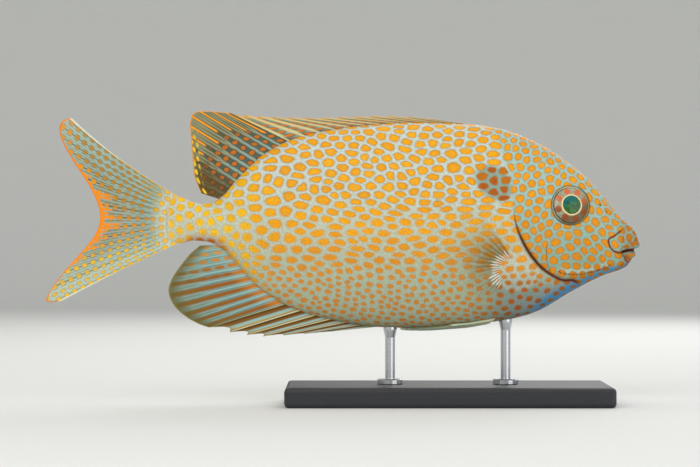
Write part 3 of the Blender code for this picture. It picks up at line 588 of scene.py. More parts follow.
# Fins: half sizes in millimetres at the root and at the margin, as built in the solids.
finForm = {
    "web": (0.35, 0.24),
    "thin": 0.25,  # share of the thickness that is left at the margin
    "thinFrom": 0.6,
    "forkLong": 0.3,  # share of a ray's length over which its branches part
    "sink": 3.0,
    "columns": 12,  # between two rays
    "spineRows": 22,
    "rayRows": 34,
    "tailRows": 52,
    "fineRows": 30,
}
spineForm = {"crest": (1.2, 0.36), "width": (0.85, 0.45), "smooth": False, "notch": 0.117, "lean": 0.25}
rayForm = {"crest": (0.9, 0.38), "width": (0.75, 0.34)}
fineForm = {"crest": (0.75, 0.34), "width": (0.42, 0.26)}
dorsal = {
    "feet": (67.2, -27.6),  # x of the first and the last spine
    "rooted": 0.4,  # how far the spines' feet are under the back
    "forks": ((0.25, 0.17), (0.62, 0.08)),
    "tips": [
        (45.0, 52.2), (33.0, 53.3), (23.5, 53.7), (14.2, 53.7), (5.8, 53.4), (-2.5, 53.1), (-10.5, 52.9),
        (-19.0, 52.8), (-27.5, 53.0), (-35.8, 53.3), (-43.5, 53.8), (-50.6, 54.5), (-57.2, 55.2),
    ],
    "rays": [
        ((-32.5, 39.0), (-63.2, 55.7)), ((-36.5, 36.7), (-69.5, 56.1)), ((-40.4, 34.0), (-75.4, 55.4)),
        ((-44.2, 30.9), (-77.4, 51.2)), ((-47.8, 27.6), (-77.4, 46.0)), ((-51.2, 24.2), (-77.0, 40.6)),
        ((-54.4, 20.8), (-76.6, 35.0)), ((-57.4, 17.5), (-76.1, 29.0)), ((-60.2, 14.2), (-75.2, 22.4)),
        ((-62.8, 11.6), (-72.2, 14.6)),
    ],
}
anal = {
    "forks": ((0.4, 0.16), (0.7, 0.08)),
    "spines": [
        ((17.5, -52.9), (-6.0, -55.4)), ((9.0, -52.0), (-19.5, -56.6)), ((0.6, -50.8), (-30.4, -57.4)),
        ((-7.0, -49.2), (-40.9, -57.9)), ((-14.6, -47.2), (-49.0, -57.2)), ((-22.4, -44.8), (-57.6, -55.8)),
        ((-30.4, -41.6), (-68.2, -53.3)),
    ],
    "rays": [
        ((-35.0, -38.6), (-72.8, -51.7)), ((-38.4, -36.2), (-78.0, -49.0)), ((-41.6, -33.4), (-83.0, -45.2)),
        ((-45.0, -30.2), (-86.9, -40.3)), ((-48.4, -26.6), (-88.5, -34.8)), ((-51.6, -23.0), (-87.2, -29.6)),
        ((-54.8, -19.4), (-84.4, -24.8)), ((-58.0, -16.2), (-81.0, -20.2)), ((-61.0, -13.4), (-77.2, -15.7)),
        ((-64.0, -11.6), (-72.6, -11.9)),
    ],
}
tail = {
    "hub": (-66.0, 0.8),
    "arc": 21.5,
    "turns": (math.atan2(12.2, -17.5), math.atan2(-11.4, -17.5) + 2 * math.pi),
    "tips": [
        (-137.5, 52.5), (-142.0, 51.2), (-143.8, 46.5), (-142.0, 40.3), (-138.3, 33.4), (-133.8, 26.2),
        (-129.2, 19.2), (-125.6, 12.4), (-123.4, 5.8), (-123.4, -0.4), (-125.6, -6.2), (-129.6, -11.8),
        (-134.4, -17.2), (-139.4, -22.8), (-144.6, -29.2), (-149.4, -36.6), (-150.0, -40.2), (-143.2, -40.2),
    ],
    "bows": (2.2, 0.6),
    "forks": ((0.12, 0.2), (0.4, 0.11), (0.7, 0.05)),
    "rise": 16.0,
}
pectoral = {
    "foot": (83.2, -24.5),
    "footRadius": 7.6,
    "footTurns": (88.0, 232.0),
    "turns": (124.0, 240.0),
    "count": 16,
    "lengths": (40.0, 16.0),
    "shortens": 1.3,
    "spread": math.radians(34.0),
    "curl": 0.4,
    "out": 1.1,
    "forks": ((0.25, 0.2),),
}
pelvic = {
    "rays": [  # foot, middle and tip of each, as (x, y)
        ((74.6, 6.2), (52.0, 6.7), (33.5, 5.2)), ((74.2, 5.4), (50.0, 5.6), (29.8, 4.7)),
        ((73.8, 4.6), (49.0, 4.4), (28.7, 4.1)), ((73.4, 3.8), (50.0, 3.1), (30.5, 3.4)),
        ((73.0, 3.0), (52.0, 1.9), (38.0, 2.4)),
    ],
    "clear": (0.4, 1.35),  # below the belly at the foot and from a quarter of the ray on
    "rootLong": 4.0,
    "forks": ((0.3, 0.2),),
}


def tapered(sizes, t):
    return sizes[0] + (sizes[1] - sizes[0]) * t


def midlineRay(foot, tip, rows, sink, bow=0.0):
    # A ray on the midline, from its root under the skin to its tip.
    foot, tip = np.array(foot), np.array(tip)
    t = np.linspace(0.0, 1.0, rows)[:, None]
    aside = np.array([tip[1] - foot[1], foot[0] - tip[0]]) / -np.linalg.norm(tip - foot)
    line = foot + (tip - foot) * t + aside * bow * 4 * t * (1 - t)
    line = np.vstack([line[0] + np.array(sink), line])
    return np.stack([line[:, 0], line[:, 0] * 0, line[:, 1]], 1)


def acrossRays(rays, smooth):
    # The rays and what lies between them, as an even grid, with each column's place counted in rays.
    count = len(rays)
    places = np.linspace(0.0, count - 1, (count - 1) * finForm["columns"] + 1)
    k = np.clip(np.floor(places).astype(int), 0, count - 2)
    t = (places - k)[:, None, None]
    a, b, c, d = (rays[np.clip(k + step, 0, count - 1)] for step in (-1, 0, 1, 2))
    return (spline(a, b, c, d, t) if smooth else b + (c - b) * t), places


def sheetNormals(grid, side):
    # Which way the first face of the sheet looks: straight to the left where it stands on the midline.
    if side == 0:
        return np.zeros(grid.shape) + (0.0, 1.0, 0.0)
    normal = np.cross(np.gradient(grid, axis=1), np.gradient(grid, axis=0))
    normal /= np.linalg.norm(normal, axis=-1, keepdims=True)
    return normal * np.sign((normal[..., 1] * side).mean())


def rayBeams(offset, run, gap, width, forks):
    # 1 along the crest of a ray and its branches, and down to 0 in the web. Forks are (start, spread).
    branches = [0.0 * run]
    for start, spread in forks:
        grown = spread * smoothStep(start, start + finForm["forkLong"], run)
        branches = [branch + way * grown for branch in branches for way in (-1, 1)]
    return np.max([bell((offset - branch) * gap, tapered(width, run)) for branch in branches], axis=0)


def sheetFaces(wide, long):
    # The two faces of a sheet and the rim between them.
    front = gridFaces(wide, long)
    faces = front.tolist() + (front[:, ::-1] + wide * long).tolist()
    rim = [(i, 0) for i in range(wide)] + [(wide - 1, j) for j in range(1, long)]
    rim += [(i, long - 1) for i in range(wide - 2, -1, -1)] + [(0, j) for j in range(long - 2, 0, -1)]
    for (i, j), (p, q) in zip(rim, rim[1:] + rim[:1]):
        a, b = i * long + j, p * long + q
        faces.append((b, a, a + wide * long, b + wide * long))
    return faces


def finSheet(
    name, rays, crest, width, forks=(), smooth=True, side=0, notch=0.0, lean=0.0, bare=False, rise=0.0
):
    # A thin closed sheet whose rays stand up on both faces. A bare one has no crest along its first ray.
    rays = np.array(rays)
    grid, places = acrossRays(rays, smooth)
    wide, long = grid.shape[:2]
    between = places - np.floor(places)
    run = np.clip(np.linspace(-1 / (long - 2), 1.0, long), 0.0, 1.0)[None, :]
    if notch:
        fall = notch * np.sin(math.pi * between)[:, None] * run
        grid = grid + (grid[:, 1:2] - grid) * fall[..., None]
    steps = np.linalg.norm(np.diff(grid, axis=1), axis=2)
    length = np.concatenate([np.zeros((wide, 1)), steps.cumsum(axis=1)], 1)
    length = length - length[:, 1:2]
    margin = length[:, -1:] - length
    gaps = np.linalg.norm(np.diff(rays, axis=0), axis=2)
    gap = gaps[np.clip(np.floor(places).astype(int), 0, len(gaps) - 1)]
    nearest = np.round(places)[:, None]
    offset = places[:, None] - nearest
    if bare:
        offset = np.where(nearest == 0, 0.5, offset)
    beam = rayBeams(offset, run, gap, width, forks)
    if rise:
        beam = beam * smoothStep(0.0, rise, length)
    half = tapered(finForm["web"], run) * (1 - beam) + tapered(crest, run) * beam
    half = half * (finForm["thin"] + (1 - finForm["thin"]) * smoothStep(0.0, finForm["thinFrom"], margin))
    shift = lean * np.where(nearest % 2 == 0, 1, -1) * bell(offset * gap, 2 * tapered(width, run))
    normal = sheetNormals(grid, side)
    lifts = [(shift + half * way)[..., None] for way in (1, -1)]
    points = np.concatenate([grid + normal * lift for lift in lifts]).reshape(-1, 3)
    values = {
        "ray": np.repeat(places[:, None], long, 1),
        "run": np.repeat(run, wide, 0),
        "length": length,
        "margin": margin,
        "beam": beam,
        "gap": gap,
        "place": grid,
    }
    kept = {}
    for word, value in values.items():
        flat = value.reshape(-1, 3) if value.ndim == 3 else value.ravel()
        kept[word] = np.concatenate([flat, flat])
    made = meshObject(name, placed(points), sheetFaces(wide, long), kept)
    made.data.flip_normals()
    return made


def buildFinPair(word, spines, rays, sink, forks):
    # The spiny part of a fin, and the soft part, which starts behind the last spine.
    spiny = [midlineRay(foot, tip, finForm["spineRows"], (0, sink)) for foot, tip in spines]
    soft = [midlineRay(foot, tip, finForm["rayRows"], (0, sink)) for foot, tip in (spines[-1], *rays)]
    return (
        finSheet(word + "_spines", spiny, **spineForm),
        finSheet(word + "_rays", soft, **rayForm, forks=forks, bare=True),
    )


def buildDorsalFins():
    xs = np.linspace(*dorsal["feet"], len(dorsal["tips"]))
    spines = [((x, float(back(x)) - dorsal["rooted"]), tip) for x, tip in zip(xs, dorsal["tips"])]
    return buildFinPair("dorsal", spines, dorsal["rays"], -finForm["sink"], dorsal["forks"])


def buildAnalFins():
    return buildFinPair("anal", anal["spines"], anal["rays"], finForm["sink"], anal["forks"])


def buildTailFin():
    rays = []
    count = len(tail["tips"])
    for k, tip in enumerate(tail["tips"]):
        turn = tapered(tail["turns"], k / (count - 1))
        heading = np.array([math.cos(turn), math.sin(turn)])
        foot = np.array(tail["hub"]) + heading * tail["arc"]
        share = 1 - 2 * k / (count - 1)
        bow = tail["bows"][0] * share**2 if share > 0 else -tail["bows"][1] * share**2
        rays.append(midlineRay(foot, tip, finForm["tailRows"], -heading * finForm["sink"], bow))
    return finSheet("tail_rays", rays, **rayForm, forks=tail["forks"], rise=tail["rise"])


def buildPectoralFin(word, side):
    rays = []
    for k in range(pectoral["count"]):
        share = k / (pectoral["count"] - 1)
        footTurn = math.radians(tapered(pectoral["footTurns"], share))
        turn = math.radians(tapered(pectoral["turns"], share))
        x = pectoral["foot"][0] + pectoral["footRadius"] * math.cos(footTurn)
        z = pectoral["foot"][1] + pectoral["footRadius"] * math.sin(footTurn)
        foot = onSkin(x, z, side, pectoral["out"])
        length = tapered(pectoral["lengths"], share ** pectoral["shortens"])
        flat = np.array([math.cos(turn), 0, math.sin(turn)]) * length * math.cos(pectoral["spread"])
        out = np.array([0, side * length * math.sin(pectoral["spread"]), 0])
        t = np.linspace(0.0, 1.0, finForm["fineRows"])[:, None]
        line = foot + flat * t + out * (t - pectoral["curl"] * t * t)
        root = foot - (flat + out) / np.linalg.norm(flat + out) * finForm["sink"]
        rays.append(np.vstack([root, line]))
    return finSheet("pectoral_rays_" + word, rays, **fineForm, forks=pectoral["forks"], side=side)


def buildPelvicFin(word, side):
    rays = []
    for foot, middle, tip in np.array(pelvic["rays"]):
        t = np.linspace(0.0, 1.0, finForm["fineRows"])[:, None]
        line = (1 - t) ** 2 * foot + 2 * t * (1 - t) * middle + t * t * tip
        points = []
        for (x, y), share in zip(line, t[:, 0]):
            points.append((x, side * y, bellyHeight(x, y) - tapered(pelvic["clear"], min(4 * share, 1.0))))
        x, y, z = points[0]
        rays.append([(x + pelvic["rootLong"], y, z + finForm["sink"]), *points])
    return finSheet("pelvic_rays_" + word, rays, **fineForm, forks=pelvic["forks"], side=side)


dorsalSpines, dorsalRays = buildDorsalFins()
analSpines, analRays = buildAnalFins()
tailRays = buildTailFin()
pectorals = [buildPectoralFin(word, side) for word, side in sides]
pelvics = [buildPelvicFin(word, side) for word, side in sides]
fins = [dorsalSpines, dorsalRays, analSpines, analRays, tailRays, *pectorals, *pelvics]
print("fins", sum(len(fin.data.polygons) for fin in fins), "faces")


def buildEye(word, side):
    # The eyeball, flattened as the solid is. It keeps each point's distance and place from its middle.
    centre = onSkin(eye["x"], eye["z"], side, -eye["sink"])
    facing = skinNormal(eye["x"], eye["z"], side)
    along = np.cross((0.0, 0.0, 1.0), facing)
    along /= np.linalg.norm(along)
    up = np.cross(facing, along)
    rings, around = eye["rings"], eye["around"]
    points, radius, places = [centre + facing * eye["depth"]], [0.0], [(0.0, 0.0, 0.0)]
    for i in range(1, rings + 1):
        slope = math.pi / 2 * i / rings
        away = eye["radius"] * math.sin(slope)
        for k in range(around):
            turn = 2 * math.pi * k / around
            flat = along * math.cos(turn) + up * math.sin(turn)
            points.append(centre + flat * away + facing * eye["depth"] * math.cos(slope))
            radius.append(away)
            places.append((math.cos(turn) * away * -side, math.sin(turn) * away, 0.0))
    faces = [(0, 1 + k, 1 + (k + 1) % around) for k in range(around)]
    faces += (gridFaces(rings, around, True) + 1).tolist()
    faces.append(tuple(1 + (rings - 1) * around + k for k in range(around)))
    return meshObject("eyeball_" + word, placed(points), faces, {"iris": radius, "disc": places})


eyes = [buildEye(word, side) for word, side in sides]
print("eyes", sum(len(piece.data.polygons) for piece in eyes), "faces")

for piece in (skin, *lips, *fins, *eyes):
    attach(piece, "root")
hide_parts("head", "gill_cover_left", "gill_cover_right", "trunk", "tail_stalk")
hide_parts("dorsal_fin_spiny")
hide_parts("dorsal_fin_soft")
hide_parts("anal_fin_spiny")
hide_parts("anal_fin_soft")
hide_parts("tail_fin_upper", "tail_fin_lower")
for (word, side), pectoralFin, pelvicFin, eyeball in zip(sides, pectorals, pelvics, eyes):
    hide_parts("pectoral_fin_" + word)
    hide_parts("pelvic_fin_" + word)
    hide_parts("eye_" + word)


def tint(*screen):
    # A colour given as on a screen, each part up to 255, as the light that it stands for.
    light = []
    for part in screen:
        share = part / 255
        light.append(share / 12.92 if part < 10 else ((share + 0.055) / 1.055) ** 2.4)
    return tuple(light)


class Flow:
    # An output in a material's nodes, so that sums of them are written as they read.
    def __init__(self, paint, socket):
        self.paint = paint
        self.socket = socket

    def math(self, operation, *others):
        return self.paint.math(operation, self, *others)

    def __add__(self, other):
        return self.math("ADD", other)

    __radd__ = __add__

    def __sub__(self, other):
        return self.math("SUBTRACT", other)

    def __rsub__(self, other):
        return self.paint.math("SUBTRACT", other, self)

    def __mul__(self, other):
        return self.math("MULTIPLY", other)

    __rmul__ = __mul__

    def __truediv__(self, other):
        return self.math("DIVIDE", other)

    def __rtruediv__(self, other):
        return self.paint.math("DIVIDE", other, self)

    def __abs__(self):
        return self.math("ABSOLUTE")

    def root(self):
        return self.math("SQRT")

    def wave(self):
        return self.math("SINE")

    def part(self):
        return self.math("FRACT")

    def whole(self):
        return self.math("FLOOR")

    def turn(self, other):
        return self.math("ARCTAN2", other)

    def least(self, other):
        return self.math("MINIMUM", other)

    def most(self, other):
        return self.math("MAXIMUM", other)

    def rise(self, low, high):
        # 0 up to low and 1 from high on, smoothly between.
        settings = {"interpolation_type": "SMOOTHSTEP", "clamp": True}
        return self.paint.node("MapRange", settings, {"Value": self, "From Min": low, "From Max": high})

    def fall(self, low, high):
        return 1.0 - self.rise(low, high)


class Paint:
    # A material, built from nodes. Its colours are given as on a screen and used by their names.
    def __init__(self, name, colours, **constants):
        self.material = bpy.data.materials.new(name)
        self.material.use_nodes = True
        self.tree = self.material.node_tree
        self.shader = self.tree.nodes["Principled BSDF"]
        self.colours = {word: tint(*screen) for word, screen in colours.items()}
        for word, value in constants.items():
            self.shader.inputs[word.replace("_", " ")].default_value = value

    def node(self, kind, settings, inputs, output=0):
        made = self.tree.nodes.new("ShaderNode" + kind)
        for word, value in settings.items():
            setattr(made, word, value)
        for key, value in inputs.items():
            self.plug(made.inputs[key], value)
        return Flow(self, made.outputs[output])

    def plug(self, socket, value):
        if isinstance(value, Flow):
            self.tree.links.new(value.socket, socket)
        elif isinstance(value, str):
            socket.default_value = (*self.colours[value], 1.0)
        else:
            socket.default_value = value

    def set(self, word, value):
        self.plug(self.shader.inputs[word], value)

    def math(self, operation, *values):
        return self.node("Math", {"operation": operation}, dict(enumerate(values)))

    def number(self, word):
        return self.node("Attribute", {"attribute_name": word}, {}, "Fac")

    def numbers(self, *words):
        return [self.number(word) for word in words]

    def vector(self, word):
        return self.node("Attribute", {"attribute_name": word}, {}, "Vector")

    def place(self):
        return self.node("TexCoord", {}, {}, "Object")

    def parts(self, vector):
        made = self.tree.nodes.new("ShaderNodeSeparateXYZ")
        self.plug(made.inputs[0], vector)
        return tuple(Flow(self, made.outputs[k]) for k in range(3))

    def joined(self, x, y, z):
        return self.node("CombineXYZ", {}, {0: x, 1: y, 2: z})

    def mix(self, factor, first, second):
        # The first colour where the factor is 0 and the second where it is 1.
        return self.node("Mix", {"data_type": "RGBA"}, {0: factor, 6: first, 7: second}, 2)

    def layers(self, base, *coats):
        # A base with colours laid over it one after another, each as far as its mask says.
        for mask, colour in coats:
            base = self.mix(mask, base, colour)
        return base

    def noise(self, vector, scale, detail=2.0):
        return self.node("TexNoise", {}, {"Vector": vector, "Scale": scale, "Detail": detail}, "Fac")

    def cells(self, vector, scale):
        return self.node("TexVoronoi", {"feature": "F1"}, {"Vector": vector, "Scale": scale}, "Distance")

    def bump(self, height, distance, strength):
        # Height in millimetres times the distance given.
        made = self.node("Bump", {}, {"Strength": strength, "Distance": distance * 0.001, "Height": height})
        self.set("Normal", made)


# Colours from Low through Mid to Top, and the head's from low to top, are shaded and lit copies: painted
# shade towards the belly. The pale band is a painted highlight, the blue colours at the bottom of the head
# are painted light from below, with the spots there darkened, and slit, line, dark and socket are painted
# shade in openings and creases.
skinColours = {
    "groundLow": (176, 188, 162), "groundMid": (196, 202, 180), "groundTop": (204, 212, 202),
    "breast": (128, 146, 142), "throatBlueLight": (134, 152, 160), "chinBlueLight": (2, 142, 200), "crown": (140, 204, 222),
    "pad": (205, 205, 190), "under": (190, 150, 130), "blotch": (108, 144, 130), "pale": (226, 232, 214),
    "headLow": (138, 172, 152), "headTop": (168, 200, 192), "halo": (122, 124, 88),
    "spotLow": (224, 142, 42), "spotMid": (252, 172, 2), "spotTop": (255, 178, 0),
    "spotCheek": (226, 140, 2), "spotHead": (250, 166, 2), "spotStalk": (255, 200, 10),
    "spotBreast": (176, 84, 20), "spotUnder": (190, 96, 20), "spotChinBlueLight": (118, 84, 20),
    "spotSnout": (168, 92, 8), "spotBlotch": (172, 80, 0), "rim": (196, 104, 0),
    "slit": (92, 36, 12), "line": (110, 52, 20), "dark": (74, 52, 30), "socket": (84, 76, 54),
}
skinGrain = {"blur": 0.09, "fine": 1.4, "scales": 0.95}  # how many to the millimetre


def paintSkin():
    paint = Paint("spottedSkin", skinColours, Coat_Weight=0.02, Coat_Roughness=0.3, Specular_IOR_Level=0.1)
    chart = paint.vector("chart")
    blur = paint.noise(chart, skinGrain["blur"]) - 0.5
    fine = paint.noise(chart, skinGrain["fine"])
    grain = fine - 0.5
    scales = paint.cells(chart, skinGrain["scales"])
    spot, tone, mark, high, stalk, end = paint.numbers("spot", "tone", "mark", "high", "stalk", "end")
    head, snout, breast, chinBlueLight, crown = paint.numbers("head", "snout", "breast", "chinBlueLight", "crown")
    under, blotched, padded, deep, gillRun = paint.numbers("under", "blotch", "pad", "deep", "gillRun")
    crease = paint.number("lowerCheek") + blur * 0.8
    # mid and top lay the lit colours over the lower ones; what stays low is painted shade, as light falls
    # from above.
    mid, top = (high * 2.0).least(1.0), (high * 2.0 - 1.0).most(0.0)
    shown = 1.0 - end
    sharp = (0.35 + 0.65 * high.rise(0.5, 0.95).most(head)) * (1.0 - 0.4 * stalk)
    # The pale net between the spots, with painted shade towards the belly, a painted highlight and painted
    # blue light from below.
    ground = paint.layers(
        "groundLow",
        (mid, "groundMid"),
        (top, "groundTop"),
        (breast * 0.85, "breast"),
        (padded * 0.5, "pad"),
        (under * 0.7, "under"),
        (blotched * 0.7, "blotch"),
        # The head's net, painted shade low and lit high.
        (head, paint.mix(high, "headLow", "headTop")),
        (crown * 0.8, "crown"),
        # A painted highlight: a pale band along the lower cheek crease.
        (abs(crease).fall(0.3, 2.4) * 0.45, "pale"),
        # Painted blue light from below, at the bottom of the head.
        (chinBlueLight.rise(0.0, 0.6) * 0.7, "throatBlueLight"),
        (chinBlueLight.rise(0.45, 1.0) * 0.88, "chinBlueLight"),
        ((spot.fall(1.0, 1.35) * sharp * 0.5 + grain * 0.3) * shown, "halo"),
    )
    # The spots, painted shade low and lit high, on the head too.
    ink = paint.layers(
        "spotLow",
        (mid, "spotMid"),
        (top, "spotTop"),
        (head, paint.mix(high, "spotCheek", "spotHead")),
        (stalk, "spotStalk"),
        (breast * (1.0 - head), "spotBreast"),
        (under, "spotUnder"),
        # The spots at the bottom of the head, darkened under the painted blue light.
        (chinBlueLight * 0.8, "spotChinBlueLight"),
        (snout.rise(0.92, 1.0) * (0.2 + 0.5 * tone), "spotSnout"),
        (mark, "spotBlotch"),
        (spot.rise(0.4, 1.0) * sharp * 0.36 + tone * 0.25 + grain * 0.35, "rim"),
    )
    edge = (spot - 1.0) * sharp + 1.0 + grain * 0.18
    # Creases, slits and openings, with painted shade in them.
    gill = abs(paint.number("gill") + blur * 0.3) - deep * 0.35
    mouth = abs(paint.number("mouth"))
    base = paint.layers(
        ground,
        (edge.fall(0.88, 1.1) * shown, ink),
        (scales.rise(0.35, 0.6) * 0.2, "halo"),
        # Painted shade: soft brown around the gill line, and the dark slit in the gill opening, both deeper
        # low down.
        (gill.fall(0.2, 1.7) * gillRun * deep * 0.4, "line"),
        (gill.fall(0.05, 0.5) * gillRun * (0.6 + 0.35 * deep), "slit"),
        # Painted shade in the grooves of the jaw and the cheek.
        (abs(paint.number("jaw")).fall(0.25, 0.7) * 0.95, "line"),
        (abs(paint.number("cheek")).fall(0.1, 0.4) * 0.55, "line"),
        (abs(crease + 1.5).fall(0.2, 0.7) * fine.rise(0.4, 0.5) * 0.75, "line"),
        # Painted shade in the lip's groove and over the end of the snout.
        (abs(paint.number("lip")).fall(0.15, 0.6) * 0.85, "line"),
        (snout.rise(0.8, 1.0) * 0.2, "line"),
        # Painted shade around the mouth and a painted shadow in its slit.
        (mouth.fall(0.4, 2.6) * snout.rise(0.75, 0.95) * 0.4, "dark"),
        (mouth.fall(0.4, 1.0) * snout.rise(0.85, 0.97), "slit"),
        # Painted shade in the nostrils.
        (paint.number("nose").fall(0.5, 1.1) * 0.8, "dark"),
        # A painted shadow in the gap between the eyeball and its socket.
        (paint.number("orbit").fall(-0.9, -0.5) * 0.8, "socket"),
    )
    paint.set("Base Color", base)
    paint.set("Roughness", 0.4 + fine * 0.16)
    paint.bump(0.6 - scales * 1.1 + fine * 0.6 + spot.fall(0.9, 1.2) * 0.35, 0.2, 0.6)
    return paint.material


finFinish = {"Roughness": 0.42, "Coat_Weight": 0.04, "Specular_IOR_Level": 0.25}
finBump = (0.2, 0.5)  # distance and strength
finGrain = 1.5
finJoints = 9.0  # how close the fine joints across a soft ray stand


def hashed(whole, turn=12.99):
    # A steady random number for each whole number.
    return ((whole * turn).wave() * 437.58).part()


def streakSpots(ray, length, apart, wide, long):
    # Distance to a row of spots that stands in each web between two rays, with 1 at a spot's edge.
    lane = ray.whole()
    across = (ray.part() - 0.5) / wide
    shift = hashed(lane) + (lane / 2.0).part()
    along = ((length / apart + shift).part() - 0.5) * apart / long
    return (across * across + along * along).root()


# Colours and marks of each fin. Spots are given as how far apart, how wide in shares of a web, and how long.
dorsalRayPaint = {
    "colours": {
        "root": (122, 156, 144), "outer": (118, 124, 92), "hollow": (48, 54, 34), "joint": (226, 204, 156),
        "rear": (88, 70, 12), "umber": (64, 34, 12), "spot": (194, 106, 8), "streak": (246, 154, 10),
        "rimSpot": (236, 190, 30), "rimRear": (226, 160, 40),
    },
    "blur": 0.25,
    "grain": 1.6,
    "joints": 7.0,
    "spots": (5.0, 0.34, 1.7),
    "rimSpots": (3.4, 0.36, 1.0),
}
dorsalSpinePaint = {
    "colours": {
        "front": (150, 168, 150), "behind": (110, 124, 102), "umber": (64, 34, 12), "spot": (214, 116, 14),
        # crest is a painted highlight on the spines.
        "cream": (206, 204, 158), "gold": (236, 186, 84), "crest": (246, 230, 176), "rim": (232, 160, 22),
    },
    "blur": 0.3,
    "spots": (4.4, 0.34, 1.5),
}
analRayPaint = {
    "colours": {
        "paleRoot": (116, 164, 160), "paleOuter": (98, 120, 94), "foot": (200, 214, 196),
        # crest is a painted highlight on the ridges of the rays.
        "seam": (70, 74, 44), "crest": (190, 214, 206), "stripe": (150, 88, 10), "stripeRear": (206, 144, 58),
        "stripeOuter": (108, 92, 36), "stripeRoot": (222, 132, 30), "olive": (96, 88, 36),
        "rim": (150, 128, 40),
    },
    "blur": 0.3,
    "bars": (6.5, 0.3, 2.4),
}
analSpinePaint = {
    # dark is a painted shadow between the overlapping spines.
    "ochre": (176, 136, 40), "blue": (150, 188, 180), "brown": (128, 80, 10), "dark": (54, 38, 12),
    "crestPale": (196, 224, 216), "crestTan": (196, 168, 84), "rim": (150, 140, 80),
}
tailPaint = {
    "colours": {
        # middle is painted shade on the rays near the fork.
        "root": (204, 206, 182), "blade": (122, 150, 136), "lower": (196, 212, 196), "middle": (88, 84, 48),
        "crest": (226, 230, 210), "hollow": (84, 94, 76), "hair": (212, 220, 196), "shade": (92, 92, 48),
        "spot": (232, 150, 14), "spotLower": (240, 186, 22), "spotOlive": (170, 120, 10),
        "spotRoot": (250, 186, 14), "fork": (246, 140, 4), "leadRoot": (232, 236, 214),
        "leadTip": (226, 188, 84),
    },
    "middle": 8.5,  # the fork, counted in rays
    "spots": (4.5, 0.31, 1.35),
    "pairs": (4.8, 0.6, 1.5),  # larger ones near the root, their width in millimetres
    "streak": 12.0,  # longest of the ones along the fork
}
pectoralPaint = {
    "clear": (176, 156, 84), "lash": (242, 244, 232), "web": (122, 98, 30), "outer": (190, 168, 90),
}
pelvicPaint = {"web": (88, 92, 48), "crest": (194, 214, 190), "root": (190, 170, 110)}


def paintDorsalRays():
    marks = dorsalRayPaint
    paint = Paint("dorsalRays", marks["colours"], **finFinish)
    ray, run, length, margin, beam = paint.numbers("ray", "run", "length", "margin", "beam")
    place = paint.vector("place")
    blur = paint.noise(place, marks["blur"]) - 0.5
    fine = paint.noise(place, marks["grain"])
    grain = fine - 0.5
    rear = (ray + blur * 2.0).rise(6.4, 8.4) * run.fall(0.9, 1.0)
    spot = streakSpots(ray + blur * 0.5, length, *marks["spots"]) + grain * 0.5
    inner = (run - 0.04 * ray).fall(0.25, 0.5)
    lane = ray.whole()
    start = 0.3 + 0.2 * hashed(lane, 7.31) + 0.05 * lane
    streak = abs(ray.part() - 0.5).fall(0.06, 0.15) * (run + grain * 0.08 - start).rise(0.0, 0.05)
    broken = (length * 0.8 + lane * 3.7).wave().rise(-0.8, -0.4).most(ray.fall(5.0, 6.5))
    rimSpot = streakSpots(ray * 1.6, margin, *marks["rimSpots"])
    base = paint.layers(
        paint.mix(run.rise(0.1, 0.6), "root", "outer"),
        (beam.fall(0.1, 0.5) * 0.7, "hollow"),
        (beam.rise(0.4, 0.9) * (length * marks["joints"]).wave().rise(-0.4, 0.8) * 0.42, "joint"),
        (rear * 0.85, "rear"),
        (inner * spot.fall(0.85, 1.3) * 0.6, "umber"),
        (inner * spot.fall(0.5, 1.0) * (1.0 - rear * 0.7), "spot"),
        (streak * broken * (1.0 - rear), "streak"),
        (margin.fall(3.6, 5.2) * rimSpot.fall(0.8, 1.1) * ray.rise(4.0, 6.0), "rimSpot"),
        (margin.fall(0.2, 0.9), paint.mix(ray.rise(5.0, 8.0), "streak", "rimRear")),
    )
    paint.set("Base Color", base)
    paint.bump(beam * 0.5 + (length * finJoints).wave() * 0.12 * beam + fine * 0.3, *finBump)
    return paint.material


def paintDorsalSpines():
    marks = dorsalSpinePaint
    paint = Paint("dorsalSpines", marks["colours"], **finFinish)
    ray, run, length, margin, beam = paint.numbers("ray", "run", "length", "margin", "beam")
    place = paint.vector("place")
    blur = paint.noise(place, marks["blur"]) - 0.5
    fine = paint.noise(place, finGrain)
    part = ray.part()
    spot = streakSpots(ray + blur * 0.4, length, *marks["spots"])
    spotted = run.fall(0.45, 0.8)
    tone = paint.mix((fine - 0.5) * 1.5 + run.rise(0.1, 0.7) * 0.6, "cream", "gold")
    base = paint.layers(
        paint.mix(part.rise(0.1, 0.7), "front", "behind"),
        (spotted * spot.fall(0.9, 1.25) * 0.6, "umber"),
        (spotted * spot.fall(0.6, 0.95), "spot"),
        (part.rise(0.66, 0.86) * 0.85, "umber"),
        (abs(part - 0.45).rise(0.18, 0.36) * run.rise(0.04, 0.2), tone),
        (beam.rise(0.12, 0.45), tone),
        # A painted highlight along the crest of each spine.
        (beam.rise(0.7, 1.0) * 0.7, "crest"),
        (margin.fall(0.8, 4.6) * (0.55 + 0.45 * part), "rim"),
    )
    paint.set("Base Color", base)
    paint.bump(fine * 0.6 + beam * 0.4, *finBump)
    return paint.material


